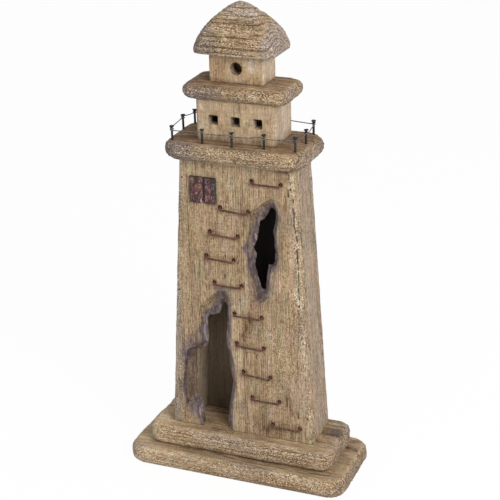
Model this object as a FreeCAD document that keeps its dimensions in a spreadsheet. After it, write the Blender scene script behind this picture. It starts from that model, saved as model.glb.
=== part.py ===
"""Garden lighthouse ornament: a weathered wooden tower on two plinths, with a wired gallery.

Millimetres, +Z up. The origin is the middle of the lower plinth's underside, and the front faces -Y.
"""
import FreeCAD, Part
import Sketcher
import os
from math import atan2, cos, pi, radians, sin, sqrt, tan
from FreeCAD import Rotation, Vector

doc = FreeCAD.newDocument("GardenLighthouse")
sheet = doc.addObject("Spreadsheet::Sheet", "Sizes")

DRIVING_SIZES = {
    # the two plinths
    "lowerPlinthWidth": 247, "lowerPlinthDepth": 104, "lowerPlinthThickness": 21.5, "lowerPlinthCorner": 20,
    "upperPlinthWidth": 209, "upperPlinthDepth": 81, "upperPlinthThickness": 24.5, "upperPlinthCorner": 15,
    "plinthEdgeRadius": 8,
    # where the hand-set storeys stand, off the lower plinth's centre
    "houseShiftX": 2.5, "towerShiftY": 2, "galleryShiftY": 1, "roomShiftY": 2, "lanternShiftX": 1,
    "lanternShiftY": 4,
    # the tapered tower
    "towerBottomWidth": 161, "towerTopWidth": 122.5, "towerDepth": 55, "towerHeight": 300.5,
    "towerFrontThickness": 12, "towerBackThickness": 13, "towerSideThickness": 24, "towerEdgeRadius": 5,
    # the broken doorway and the broken window in the front board
    "doorWidth": 63, "doorHeight": 164, "doorOffset": 5, "holeWidth": 40, "holeHeight": 116,
    "holeOffset": 9, "holeSill": 152.5,
    # the gallery, the watch room, the upper deck, the lantern room and the roof
    "galleryWidth": 152, "galleryDepth": 86, "galleryThickness": 19, "galleryCorner": 22.5,
    "galleryEdgeRadius": 9,
    "roomWidth": 83.5, "roomDepth": 47.5, "roomHeight": 41.5, "roomWall": 12, "roomEdgeRadius": 4,
    "windowSize": 9.3, "windowSpacing": 23.2, "windowSill": 16.8,
    "upperDeckWidth": 113, "upperDeckDepth": 60, "upperDeckThickness": 16, "upperDeckCorner": 12.5,
    "upperDeckEdgeRadius": 7.5,
    "lanternWidth": 57, "lanternDepth": 35, "lanternHeight": 29, "lanternWall": 12, "lanternEdgeRadius": 3,
    "portholeDiameter": 12, "portholeHeight": 14.5,
    "roofWidth": 87, "roofDepth": 59, "roofHeight": 48, "roofCorner": 10, "roofRim": 2.5,
    # the railing: nails and one wire
    "postSpacing": 32.1, "postRowHalf": 29, "postHeight": 14.5, "postShankDiameter": 2.2, "postBurial": 13,
    "postHeadDiameter": 4.4, "postHeadThickness": 1.3, "wireDiameter": 1, "wirePitch": 2.05,
    "wireDrop": 1.2, "wireStartDrop": 4.5,
    # the ladder rungs and the shutters on the front
    "rungWidth": 30, "rungDiameter": 1.9, "rungBurial": 10, "rungReach": 4.2, "rungDroop": 2.2,
    "rungBend": 1.8, "rungMouthDiameter": 3.2, "rungMouthDepth": 1.6,
    "shutterWidth": 13.8, "shutterHeight": 27.5, "shutterThickness": 2.5, "shutterChamfer": 2.8,
    "shutterGap": 0.4, "shutterOffset": -34.3, "shutterHeadroom": 17.5,
    # hidden fastenings
    "bradDiameter": 1.6, "bradLength": 24, "bradSink": 1, "bradInset": 5,
    "screwDiameter": 4, "screwLength": 60, "screwHeadDiameter": 8, "screwSink": 0.5, "screwSpacing": 16,
    "towerDowelDiameter": 8, "towerDowelLength": 24, "roomDowelDiameter": 5, "roomDowelLength": 18,
    "deckDowelLength": 15, "lanternDowelDiameter": 4, "lanternDowelLength": 14,
    "fitClearance": 0.05, "endClearance": 0.5, "cutterOvershoot": 1,
}
for row, (alias, number) in enumerate(DRIVING_SIZES.items(), 1):
    sheet.set(f"A{row}", alias)
    sheet.set(f"B{row}", str(number))
    sheet.setAlias(f"B{row}", alias)
doc.recompute()


class Size:
    """A length that knows its number and the expression that ties it to the sheet."""

    def __init__(self, number, text=None):
        self.number = float(number)
        self.text = text or repr(float(number))

    def join(self, other, sign, number):
        return Size(number, f"({self.text} {sign} {other.text})")

    def __add__(self, other):
        other = as_size(other)
        return self.join(other, "+", self.number + other.number)

    def __sub__(self, other):
        other = as_size(other)
        return self.join(other, "-", self.number - other.number)

    def __mul__(self, other):
        other = as_size(other)
        return self.join(other, "*", self.number * other.number)

    def __truediv__(self, other):
        other = as_size(other)
        return self.join(other, "/", self.number / other.number)

    def __neg__(self):
        return Size(0) - self


def as_size(thing):
    return thing if isinstance(thing, Size) else Size(thing)


def smaller(first, second):
    return Size(min(first.number, second.number), f"min({first.text}; {second.text})")


def size(alias):
    return Size(sheet.get(alias), f"Sizes.{alias}")


def bind(thing, name, length):
    thing.setExpression(name, as_size(length).text)


def place(thing, x=0, y=0, z=0, turn=None):
    """Puts a piece at a point that follows the sheet, turned by a fixed rotation."""
    thing.Placement = FreeCAD.Placement(Vector(), turn or Rotation())
    for axis, length in (("x", x), ("y", y), ("z", z)):
        bind(thing, f"Placement.Base.{axis}", length)
    return thing


# ---- levels and centre lines, from the ground up -------------------------------------------------

clearance = size("fitClearance")
end_clearance = size("endClearance")
overshoot = size("cutterOvershoot")
house_x = size("houseShiftX")
tower_y = size("towerShiftY")
gallery_y = size("galleryShiftY")
room_y = size("roomShiftY")
lantern_x = size("lanternShiftX")
lantern_y = size("lanternShiftY")

upper_plinth_z = size("lowerPlinthThickness")
floor_z = upper_plinth_z + size("upperPlinthThickness")
gallery_z = floor_z + size("towerHeight")
walk_z = gallery_z + size("galleryThickness")
upper_deck_z = walk_z + size("roomHeight")
lantern_z = upper_deck_z + size("upperDeckThickness")
roof_z = lantern_z + size("lanternHeight")

tower_front_y = tower_y - size("towerDepth") / 2
tower_back_y = tower_y + size("towerDepth") / 2
hollow_depth = size("towerDepth") - size("towerFrontThickness") - size("towerBackThickness")
hollow_y = tower_front_y + size("towerFrontThickness") + hollow_depth / 2


# ---- building blocks -----------------------------------------------------------------------------

def new_body(name):
    body = doc.addObject("PartDesign::Body", name)
    body.Label = name
    return body


def profile(body, plane_role, corners):
    """A closed sketch on one of the body's own planes, each corner held by the sheet."""
    plane = next(item for item in body.Origin.OriginFeatures if item.Role == plane_role)
    sketch = body.newObject("Sketcher::SketchObject", body.Name + "_profile")
    sketch.AttachmentSupport = [(plane, "")]
    sketch.MapMode = "FlatFace"
    points = [Vector(across.number, up.number, 0) for across, up in corners]
    count = len(points)
    for index in range(count):
        sketch.addGeometry(Part.LineSegment(points[index], points[(index + 1) % count]))
    for index in range(count):
        sketch.addConstraint(Sketcher.Constraint("Coincident", index, 2, (index + 1) % count, 1))
    for index, corner in enumerate(corners):
        for kind, length in zip(("DistanceX", "DistanceY"), corner):
            held = sketch.addConstraint(Sketcher.Constraint(kind, -1, 1, index, 1, length.number))
            sketch.setExpression(f"Constraints[{held}]", length.text)
    return sketch


def pad(body, sketch, length, midplane=False):
    feature = body.newObject("PartDesign::Pad", body.Name + "_pad")
    feature.Profile = sketch
    feature.Midplane = midplane
    bind(feature, "Length", length)
    sketch.Visibility = False
    doc.recompute()
    return feature


def fillet(body, base, radius, wanted):
    """Rounds the edges of base that the test picks."""
    names = [f"Edge{n}" for n, edge in enumerate(base.Shape.Edges, 1) if wanted(edge)]
    feature = body.newObject("PartDesign::Fillet", body.Name + "_round")
    feature.Base = (base, names)
    bind(feature, "Radius", radius)
    doc.recompute()
    return feature


def is_upright(edge):
    start, end = edge.Vertexes[0].Point, edge.Vertexes[-1].Point
    return abs(end.z - start.z) > 0.9 * edge.Length


def is_level(edge):
    return edge.BoundBox.ZLength < 1e-6


def at_face(y):
    """Picks the upright edges of the face that lies at y."""
    return lambda edge: is_upright(edge) and abs(edge.CenterOfMass.y - y) < 0.01


def rectangle(width, depth):
    half_x, half_y = width / 2, depth / 2
    return [(-half_x, -half_y), (half_x, -half_y), (half_x, half_y), (-half_x, half_y)]


def cylinder(name, diameter, height, x, y, z, turn=None):
    tool = doc.addObject("Part::Cylinder", name)
    bind(tool, "Radius", diameter / 2)
    bind(tool, "Height", height)
    return place(tool, x, y, z, turn)


def joined(name, pieces):
    group = doc.addObject("Part::MultiFuse", name)
    group.Shapes = pieces
    group.Label = name
    return group


def cut(name, base, tools):
    """The piece called name: base with the tools taken out of it."""
    base.Label = name + " blank"
    result = doc.addObject("Part::Cut", name)
    result.Base = base
    result.Tool = tools[0] if len(tools) == 1 else joined(name + "_tools", tools)
    result.Label = name
    return result


def slab(name, prefix, edge_radius, x=Size(0), y=Size(0), z=Size(0)):
    """A plank with rounded corners in plan and rounded rims."""
    thickness = size(prefix + "Thickness")
    corner = smaller(size(prefix + "Corner"), size(prefix + "Depth") * 0.49)
    body = new_body(name)
    outline = rectangle(size(prefix + "Width"), size(prefix + "Depth"))
    plank = pad(body, profile(body, "XY_Plane", outline), thickness)
    cornered = fillet(body, plank, corner, is_upright)
    rim = smaller(smaller(edge_radius, thickness * 0.48), corner * 0.95)
    fillet(body, cornered, rim, is_level)
    return place(body, x, y, z)


def bore(name, diameter, depth, x, y, z):
    """A drill that leaves the fit clearance round what goes in, and the end clearance under it."""
    return cylinder(name, diameter + clearance * 2, depth, x, y, z)


# ---- dowels: each pair stands half in the piece below and half in the piece above ------------------

def side_pair(half_spacing, x):
    return [x - half_spacing, x + half_spacing]


def dowel_pair(name, diameter, length, half_spacing, x, y, z):
    """Two dowels across the joint at height z, and the drill that fits each."""
    dowels, drills = [], []
    for number, place_x in enumerate(side_pair(half_spacing, x), 1):
        label, drill_depth = f"{name}_{number}", length + end_clearance * 2
        dowels.append(cylinder(label, diameter, length, place_x, y, z - length / 2))
        drills.append(bore(label + "_drill", diameter, drill_depth, place_x, y, z - drill_depth / 2))
    return joined(name, dowels), drills


tower_top_inset = size("towerTopWidth") / 2 - size("towerSideThickness") / 2
room_inset = size("roomWidth") / 2 - size("roomWall") / 2
lantern_inset = size("lanternWidth") / 2 - size("lanternWall") / 2

gallery_dowels, gallery_drills = dowel_pair(
    "gallery_dowels", size("towerDowelDiameter"), size("towerDowelLength"), tower_top_inset,
    house_x, hollow_y, gallery_z)
watch_room_dowels, watch_room_drills = dowel_pair(
    "watch_room_dowels", size("roomDowelDiameter"), size("roomDowelLength"), room_inset,
    house_x, room_y, walk_z)
upper_deck_dowels, upper_deck_drills = dowel_pair(
    "upper_deck_dowels", size("roomDowelDiameter"), size("deckDowelLength"), room_inset,
    house_x, room_y, upper_deck_z)
lantern_dowels, lantern_drills = dowel_pair(
    "lantern_dowels", size("lanternDowelDiameter"), size("lanternDowelLength"), lantern_inset,
    lantern_x, lantern_y, lantern_z)
roof_dowels, roof_drills = dowel_pair(
    "roof_dowels", size("lanternDowelDiameter"), size("lanternDowelLength"), lantern_inset,
    lantern_x, lantern_y, roof_z)


# ---- the two plinths and the screws that come up through them -------------------------------------

INTO_FRONT = Rotation(Vector(1, 0, 0), -90)
INTO_BACK = Rotation(Vector(1, 0, 0), 90)
HALF_TURN = Rotation(Vector(0, 0, 1), 180)
SCREW_HEAD_SHARE = 0.55

pieces = []


def keep(piece):
    pieces.append(piece)
    return piece


def screw(name, x, y):
    """A countersunk wood screw that points up from under the lower plinth, and the drill for it."""
    shank, head = size("screwDiameter"), size("screwHeadDiameter")
    sink, length = size("screwSink"), size("screwLength")
    cone_height = head * SCREW_HEAD_SHARE / 2
    shaft = cylinder(name + "_shaft", shank, length, x, y, sink)
    shaft_drill = bore(name + "_shaft_drill", shank, length + sink + end_clearance, x, y, Size(0))
    mouth = bore(name + "_mouth", head, sink, x, y, Size(0))
    cones = []
    for suffix, growth in (("_head", Size(0)), ("_sinking", clearance)):
        cone = doc.addObject("Part::Cone", name + suffix)
        bind(cone, "Radius1", head / 2 + growth)
        bind(cone, "Radius2", shank / 2 + growth)
        bind(cone, "Height", cone_height)
        cones.append(place(cone, x, y, sink))
    return joined(name, [shaft, cones[0]]), joined(name + "_drill", [shaft_drill, mouth, cones[1]])


screw_x = size("towerBottomWidth") / 2 - size("towerSideThickness") / 2
screws, screw_drills = [], []
for across in side_pair(screw_x, house_x):
    for along in side_pair(size("screwSpacing") / 2, hollow_y):
        made, drilled = screw(f"base_screw_{len(screws) + 1}", across, along)
        screws.append(made)
        screw_drills.append(drilled)
left_screw_drills, right_screw_drills = screw_drills[:2], screw_drills[2:]

lower_plinth = slab("base_plinth_lower", "lowerPlinth", size("plinthEdgeRadius"))
keep(cut("base_plinth_lower", lower_plinth, screw_drills))
upper_plinth = slab(
    "base_plinth_upper", "upperPlinth", size("plinthEdgeRadius"), house_x, Size(0), upper_plinth_z)
keep(cut("base_plinth_upper", upper_plinth, screw_drills))
keep(joined("base_screws", screws))


# ---- the tower's four boards ----------------------------------------------------------------------

def face_board(name, thickness, outer_y):
    """The front or back board: a tapered plank whose outer edges are rounded."""
    height = size("towerHeight")
    half_bottom, half_top = size("towerBottomWidth") / 2, size("towerTopWidth") / 2
    corners = [(-half_bottom, Size(0)), (half_bottom, Size(0)), (half_top, height), (-half_top, height)]
    body = new_body(name)
    plank = pad(body, profile(body, "XZ_Plane", corners), thickness)
    radius = smaller(size("towerEdgeRadius"), thickness * 0.9)
    fillet(body, plank, radius, at_face(outer_y))
    return body


def side_board(name, turn=None):
    """A side board: it leans in with the taper and fills the gap between front and back."""
    height, thick = size("towerHeight"), size("towerSideThickness")
    half_bottom, half_top = size("towerBottomWidth") / 2, size("towerTopWidth") / 2
    corners = [(half_bottom - thick, Size(0)), (half_bottom, Size(0)), (half_top, height),
               (half_top - thick, height)]
    body = new_body(name)
    pad(body, profile(body, "XZ_Plane", corners), hollow_depth, midplane=True)
    return place(body, house_x, hollow_y, floor_z, turn)


def half_width_at(share):
    """Half the tower's width at a share of its height."""
    return (size("towerBottomWidth") - (size("towerBottomWidth") - size("towerTopWidth")) * share) / 2


# Brads pin the front and back boards to the sides: their heights are shares of the tower's.
BRAD_HEIGHTS = (0.1, 0.52, 0.93)
brads, brad_drills = [], {"front": [], "back": [], "left": [], "right": []}
for face, face_y, turn in (("front", tower_front_y, INTO_FRONT), ("back", tower_back_y, INTO_BACK)):
    inward = Size(1 if face == "front" else -1)
    for share in BRAD_HEIGHTS:
        reach = half_width_at(share) - size("bradInset")
        for side, brad_x in zip(("left", "right"), side_pair(reach, house_x)):
            brad_z = floor_z + size("towerHeight") * share
            label = f"brad_{face}_{side}_{len(brads) + 1}"
            head_y = face_y + inward * size("bradSink")
            thick, length = size("bradDiameter"), size("bradLength")
            brads.append(cylinder(label, thick, length, brad_x, head_y, brad_z, turn))
            depth = size("bradSink") + length + end_clearance
            drill = bore(label + "_drill", thick, depth, brad_x, face_y, brad_z)
            drill.Placement.Rotation = turn
            brad_drills[face].append(drill)
            brad_drills[side].append(drill)

left_board = side_board("tower_left_board", HALF_TURN)
right_board = side_board("tower_right_board")
keep(cut("tower_left_board", left_board, brad_drills["left"] + left_screw_drills + gallery_drills[:1]))
keep(cut("tower_right_board", right_board, brad_drills["right"] + right_screw_drills + gallery_drills[1:]))
back_board = face_board("tower_back_board", size("towerBackThickness"), 0)
place(back_board, house_x, tower_back_y, floor_z)
keep(cut("tower_back_board", back_board, brad_drills["back"]))


# ---- the broken doorway and window ----------------------------------------------------------------

# Each broken edge is a ring of corners, (across, up) on the front face and on the back face, as shares
# of the opening's width and height. The chiselled bevel runs from the one ring to the other.
DOOR_RING = [
    ((0.93, 0.00), (0.75, 0.00)), ((0.94, 0.13), (0.78, 0.13)), ((0.98, 0.24), (0.82, 0.22)),
    ((1.00, 0.36), (0.87, 0.32)), ((0.99, 0.45), (0.83, 0.42)), ((0.95, 0.55), (0.81, 0.52)),
    ((0.94, 0.62), (0.76, 0.58)), ((0.96, 0.70), (0.77, 0.67)), ((0.95, 0.80), (0.80, 0.76)),
    ((0.94, 0.91), (0.81, 0.84)), ((0.88, 1.00), (0.78, 0.88)), ((0.72, 0.99), (0.74, 0.86)),
    ((0.60, 0.95), (0.68, 0.79)), ((0.47, 0.90), (0.60, 0.775)), ((0.39, 0.86), (0.48, 0.77)),
    ((0.36, 0.77), (0.46, 0.74)), ((0.37, 0.67), (0.475, 0.66)), ((0.37, 0.60), (0.47, 0.58)),
    ((0.31, 0.575), (0.41, 0.535)), ((0.14, 0.54), (0.25, 0.525)), ((0.09, 0.44), (0.245, 0.44)),
    ((0.04, 0.34), (0.24, 0.34)), ((0.02, 0.23), (0.225, 0.225)), ((0.09, 0.15), (0.23, 0.16)),
    ((0.20, 0.185), (0.27, 0.165)), ((0.32, 0.12), (0.32, 0.10)), ((0.40, 0.00), (0.35, 0.00)),
]
HOLE_RING = [
    ((0.74, 1.00), (0.60, 0.88)), ((0.91, 0.96), (0.69, 0.85)), ((0.98, 0.86), (0.72, 0.80)),
    ((0.97, 0.74), (0.67, 0.72)), ((0.93, 0.65), (0.63, 0.66)), ((0.96, 0.57), (0.65, 0.60)),
    ((0.98, 0.47), (0.68, 0.48)), ((0.95, 0.38), (0.64, 0.35)), ((0.82, 0.32), (0.50, 0.355)),
    ((0.77, 0.20), (0.46, 0.28)), ((0.70, 0.10), (0.43, 0.19)), ((0.55, 0.02), (0.41, 0.115)),
    ((0.42, 0.00), (0.33, 0.115)), ((0.28, 0.11), (0.27, 0.18)), ((0.18, 0.22), (0.20, 0.28)),
    ((0.07, 0.34), (0.16, 0.33)), ((0.09, 0.45), (0.21, 0.43)), ((0.01, 0.55), (0.13, 0.49)),
    ((0.08, 0.66), (0.24, 0.57)), ((0.12, 0.78), (0.29, 0.67)), ((0.15, 0.87), (0.31, 0.73)),
    ((0.33, 0.90), (0.41, 0.76)), ((0.50, 0.96), (0.51, 0.80)),
]


def broken_opening(name, ring, left, bottom, width, height):
    """The solid that leaves a bevelled, broken opening when it is cut from the front board."""
    front, back = tower_front_y.number, (tower_front_y + size("towerFrontThickness")).number
    beyond = (overshoot / size("towerFrontThickness")).number

    def corner(pair, share):
        across = pair[0][0] + (pair[1][0] - pair[0][0]) * share
        up = pair[0][1] + (pair[1][1] - pair[0][1]) * share
        x = left.number + across * width.number
        return Vector(x, front + (back - front) * share, bottom.number + up * height.number)

    wires = []
    for share in (-beyond, 1 + beyond):
        points = [corner(pair, share) for pair in ring]
        wires.append(Part.makePolygon(points + points[:1]))
    cutter = doc.addObject("Part::Feature", name)
    cutter.Shape = Part.makeLoft(wires, True, True)
    return cutter


doorway = broken_opening(
    "doorway_cutter", DOOR_RING, house_x - size("doorWidth") - size("doorOffset"), floor_z,
    size("doorWidth"), size("doorHeight"))
broken_window = broken_opening(
    "broken_window_cutter", HOLE_RING, house_x + size("holeOffset"), floor_z + size("holeSill"),
    size("holeWidth"), size("holeHeight"))


# ---- the ladder of bent wire rungs ----------------------------------------------------------------

# Each rung's middle, across as a share of the tower's half width there and up as a share of its
# height, and the rung's tilt in degrees.
RUNGS = [
    (0.521, 0.944, 1.4), (-0.031, 0.838, 2.8), (-0.212, 0.747, 3.2), (-0.277, 0.659, 3.2),
    (-0.155, 0.566, 0.2), (0.145, 0.460, 0.9), (0.163, 0.347, 1.8), (0.245, 0.240, 4.3),
    (0.363, 0.149, 0.8), (0.636, 0.056, 0.2),
]


def rounded_path(points, radius):
    """Straight runs through the points, with a tangent arc at each inner corner."""
    edges, start = [], points[0]
    for before, corner, after in zip(points, points[1:], points[2:]):
        inward, outward = (before - corner).normalize(), (after - corner).normalize()
        half_turn = (pi - inward.getAngle(outward)) / 2
        reach = radius * tan(half_turn)
        middle = (inward + outward).normalize() * (radius / cos(half_turn) - radius)
        first, last = corner + inward * reach, corner + outward * reach
        edges.append(Part.LineSegment(start, first).toShape())
        edges.append(Part.Arc(first, corner + middle, last).toShape())
        start = last
    edges.append(Part.LineSegment(start, points[-1]).toShape())
    return Part.Wire(edges)


def tube(path, diameter):
    """A round wire along a path, with the volume of its section times its length."""
    start = path.OrderedVertexes[0].Point
    direction = path.OrderedEdges[0].tangentAt(path.OrderedEdges[0].FirstParameter)
    section = Part.Wire([Part.Circle(start, direction, diameter / 2).toShape()])
    solid = path.makePipeShell([section], True, False)
    expected = pi * diameter ** 2 / 4 * path.Length
    print(f"tube: length {path.Length:.1f}, volume {solid.Volume:.2f}, section times length {expected:.2f}")
    return solid


def rung_shape():
    """One staple: two legs in the wood, and a bar that hangs a little below them."""
    half, droop = size("rungWidth").number / 2, size("rungDroop").number
    reach, bury = size("rungReach").number, size("rungBurial").number
    left = [Vector(-half, bury, 0), Vector(-half, -reach / 2, 0), Vector(-half + droop, -reach, -droop)]
    right = [Vector(-point.x, point.y, point.z) for point in reversed(left)]
    return tube(rounded_path(left + right, size("rungBend").number), size("rungDiameter").number)


rung_tools = []
staple = rung_shape()
for number, (across_share, up_share, tilt) in enumerate(RUNGS, 1):
    across, up = half_width_at(up_share) * across_share, size("towerHeight") * up_share
    rung = doc.addObject("Part::Feature", f"ladder_rung_{number:02d}")
    rung.Shape = staple
    rung.Label = rung.Name
    keep(place(rung, house_x + across, tower_front_y, floor_z + up, Rotation(Vector(0, 1, 0), tilt)))
    for side in (-1, 1):
        lever = size("rungWidth") / 2 * side
        hole_x = house_x + across + lever * cos(radians(tilt))
        hole_z = floor_z + up - lever * sin(radians(tilt))
        label = f"rung_{number:02d}_{'left' if side < 0 else 'right'}"
        depth = size("rungBurial") + end_clearance
        drill = bore(label + "_drill", size("rungDiameter"), depth, hole_x, tower_front_y, hole_z)
        mouth = doc.addObject("Part::Cone", label + "_mouth")
        bind(mouth, "Radius1", size("rungMouthDiameter") / 2)
        bind(mouth, "Radius2", size("rungDiameter") / 2 + clearance)
        bind(mouth, "Height", size("rungMouthDepth"))
        place(mouth, hole_x, tower_front_y, hole_z)
        for tool in (drill, mouth):
            tool.Placement.Rotation = INTO_FRONT
            rung_tools.append(tool)

front_thickness = size("towerFrontThickness")
front_board = face_board("tower_front_board", front_thickness, -front_thickness.number)
place(front_board, house_x, tower_front_y + front_thickness, floor_z)
keep(cut("tower_front_board", front_board, [doorway, broken_window] + brad_drills["front"] + rung_tools))
keep(joined("tower_brads", brads))


# ---- the two shutter leaves -----------------------------------------------------------------------

SHUTTER_LIP_SHARE = 0.3


def shutter(name, hand):
    """A thin leaf whose edge next to its twin is chamfered; hand is -1 on the left, 1 on the right."""
    wide, thick, chamfer = size("shutterWidth"), size("shutterThickness"), size("shutterChamfer")
    near = size("shutterGap") / 2
    outline = [(near, Size(0)), (near + wide, Size(0)), (near + wide, -thick),
               (near + chamfer, -thick), (near, -thick * SHUTTER_LIP_SHARE)]
    body = new_body(name)
    handed = [(across * hand, deep) for across, deep in outline]
    pad(body, profile(body, "XY_Plane", handed), size("shutterHeight"))
    sill_z = gallery_z - size("shutterHeadroom") - size("shutterHeight")
    return place(body, house_x + size("shutterOffset"), tower_front_y, sill_z)


keep(shutter("shutter_left", -1))
keep(shutter("shutter_right", 1))


# ---- the gallery, its railing posts and its wire ----------------------------------------------------

# Where the nails were driven, off an even row: across and along, in post order. Post 01 is the front
# left corner, 05 the front right, 06 the right side, 07 to 11 the back row, and 12 the left side.
POST_GRID = [(column, -1) for column in (-2, -1, 0, 1, 2)] + [(2, 0)]
POST_GRID += [(column, 1) for column in (2, 1, 0, -1, -2)] + [(-2, 0)]
POST_SHIFTS = [
    (0.5, -1.5), (1.0, -3.0), (0.5, -4.5), (0.0, 0.0), (-0.5, 1.5), (0.7, -0.8),
    (-2.0, 0.0), (1.0, -0.5), (-0.5, 0.5), (0.5, 0.0), (-0.5, -2.0), (-4.5, 7.0),
]
NAIL_TIP_SHARE = 1.2

post_places = []
for (column, row), (shift_x, shift_y) in zip(POST_GRID, POST_SHIFTS):
    post_x = house_x + size("postSpacing") * column + shift_x
    post_places.append((post_x, gallery_y + size("postRowHalf") * row + shift_y))


def post(name, x, y):
    """A flat-headed nail driven into the gallery, and the drill it stands in."""
    shank, head = size("postShankDiameter"), size("postHeadDiameter")
    tip = shank * NAIL_TIP_SHARE
    foot_z = walk_z - size("postBurial")
    head_z = walk_z + size("postHeight") - size("postHeadThickness")
    shaft = cylinder(name + "_shaft", shank, head_z - foot_z - tip, x, y, foot_z + tip)
    point = doc.addObject("Part::Cone", name + "_point")
    bind(point, "Radius1", shank / 8)
    bind(point, "Radius2", shank / 2)
    bind(point, "Height", tip)
    place(point, x, y, foot_z)
    cap = cylinder(name + "_head", head, size("postHeadThickness"), x, y, head_z)
    drill = bore(name + "_drill", shank, size("postBurial") + end_clearance, x, y, foot_z - end_clearance)
    return joined(name, [shaft, point, cap]), drill


post_drills = []
for number, (post_x, post_y) in enumerate(post_places, 1):
    nail, drill = post(f"rail_post_{number:02d}", post_x, post_y)
    keep(nail)
    post_drills.append(drill)

gallery = slab("gallery_deck", "gallery", size("galleryEdgeRadius"), house_x, gallery_y, gallery_z)
keep(cut("gallery_deck", gallery, gallery_drills + watch_room_drills + post_drills))
keep(gallery_dowels)


def arc_from(start, way, end, backwards=False):
    """The arc that leaves start along way and reaches end."""
    chord = end - start
    half = way.getAngle(chord) / 2
    bulge = (way - chord * (way.dot(chord) / chord.dot(chord))).normalize()
    middle = start + chord * 0.5 + bulge * (chord.Length / 2 * tan(half))
    return Part.Arc(end, middle, start) if backwards else Part.Arc(start, middle, end)


def biarc(start, start_way, end, end_way):
    """Two arcs that leave start along start_way, meet smoothly and arrive at end along end_way."""
    span, both = end - start, start_way + end_way
    closing = 2 * (1 - start_way.dot(end_way))
    reach = (sqrt(span.dot(both) ** 2 + closing * span.dot(span)) - span.dot(both)) / closing
    joint = (start + end + (start_way - end_way) * reach) * 0.5
    return [arc_from(start, start_way, joint), arc_from(end, -end_way, joint, backwards=True)]


class Wrap:
    """The wire's winding round one post: where it comes on and off, and the turn between."""

    def __init__(self, post_xy, first_angle, turning, first_z, last_z):
        self.centre = Vector(post_xy[0].number, post_xy[1].number, 0)
        self.radius = (size("postShankDiameter") + size("wireDiameter")).number / 2 + clearance.number
        self.first_angle, self.turning = first_angle, turning
        self.first_z, self.last_z = first_z, last_z

    def at(self, share):
        angle = self.first_angle + self.turning * share
        level = self.first_z + (self.last_z - self.first_z) * share
        return self.centre + Vector(self.radius * cos(angle), self.radius * sin(angle), level)

    def way(self, share):
        angle = self.first_angle + self.turning * share
        slope = (self.last_z - self.first_z) / (self.radius * self.turning)
        return Vector(-sin(angle), cos(angle), slope).normalize()

    def arcs(self, way_on, way_off):
        quarters = max(1, round(self.turning / (pi / 2)))
        ways = [self.way(step / quarters) for step in range(quarters + 1)]
        ways[0], ways[-1] = way_on or ways[0], way_off or ways[-1]
        curves = []
        for step in range(quarters):
            start, end = self.at(step / quarters), self.at((step + 1) / quarters)
            curves += biarc(start, ways[step], end, ways[step + 1])
        return curves


def railing_path():
    """One wire: a whole turn round each post, and a straight pull from each post to the next.

    It starts low on the middle post of the back row, and ends there above its start.
    """
    count, first = len(post_places), POST_GRID.index((0, 1))
    order = [(first + step) % count for step in range(count + 1)]
    centres = [Vector(post_places[index][0].number, post_places[index][1].number, 0) for index in order]
    angles = []
    for here, there in zip(centres, centres[1:]):
        pull = there - here
        angles.append(atan2(pull.y, pull.x) - pi / 2)
    high = (walk_z + size("postHeight") - size("postHeadThickness") - size("wireDrop")).number
    pitch = size("wirePitch").number
    start_z = high - size("wireStartDrop").number
    wraps = [Wrap(post_places[order[0]], angles[0], 2 * pi, start_z - pitch, start_z)]
    for step in range(1, count):
        bend = (angles[step] - angles[step - 1] + pi) % (2 * pi) - pi
        wraps.append(Wrap(post_places[order[step]], angles[step - 1], 2 * pi + bend, high, high - pitch))
    wraps.append(Wrap(post_places[order[-1]], angles[-1], 2 * pi, high, high - pitch))
    ways = [(after.at(0) - before.at(1)).normalize() for before, after in zip(wraps, wraps[1:])]
    curves = []
    for step, wrap in enumerate(wraps):
        curves += wrap.arcs(ways[step - 1] if step else None, ways[step] if step < count else None)
        if step < count:
            curves.append(Part.LineSegment(wrap.at(1), wraps[step + 1].at(0)))
    return Part.Wire([curve.toShape() for curve in curves])


def least_gap(path, diameter):
    """The least clear distance from the wire to itself, measured on points along it."""
    spacing = diameter / 4
    points = path.discretize(Distance=spacing)
    apart = int(2.5 * diameter / spacing) + 1
    return min(
        first.distanceToPoint(second)
        for index, first in enumerate(points)
        for second in points[index + apart:index + 16 * apart]
    ) - diameter


wire_line = railing_path()
wire_thickness = size("wireDiameter").number
railing_wire = doc.addObject("Part::Feature", "railing_wire")
railing_wire.Shape = tube(wire_line, wire_thickness)
keep(railing_wire)
print(f"railing wire: least gap to itself {least_gap(wire_line, wire_thickness):.2f}")


# ---- the watch room and the lantern room ------------------------------------------------------------

def room_board(name, corners, height, x, y, z, turn=None, rounded=None):
    """An upright board of a room; rounded is (radius, the y of the face whose ends are rounded)."""
    body = new_body(name)
    plank = pad(body, profile(body, "XY_Plane", corners), height)
    if rounded:
        radius, face_y = rounded
        fillet(body, plank, radius, at_face(face_y))
    return place(body, x, y, z, turn)


def room(name, prefix, x, y, z):
    """Front and back boards with the two side boards between them."""
    half_width, half_depth = size(prefix + "Width") / 2, size(prefix + "Depth") / 2
    wall, height = size(prefix + "Wall"), size(prefix + "Height")
    inner = half_depth - wall
    inside = half_width - wall
    face = [(-half_width, -half_depth), (half_width, -half_depth),
            (half_width, -inner), (-half_width, -inner)]
    side = [(inside, -inner), (half_width, -inner), (half_width, inner), (inside, inner)]
    rounded = (smaller(size(prefix + "EdgeRadius"), wall * 0.9), -half_depth.number)
    return [
        room_board(name + "_front_board", face, height, x, y, z, None, rounded),
        room_board(name + "_back_board", face, height, x, y, z, HALF_TURN, rounded),
        room_board(name + "_left_board", side, height, x, y, z, HALF_TURN),
        room_board(name + "_right_board", side, height, x, y, z),
    ]


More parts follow.
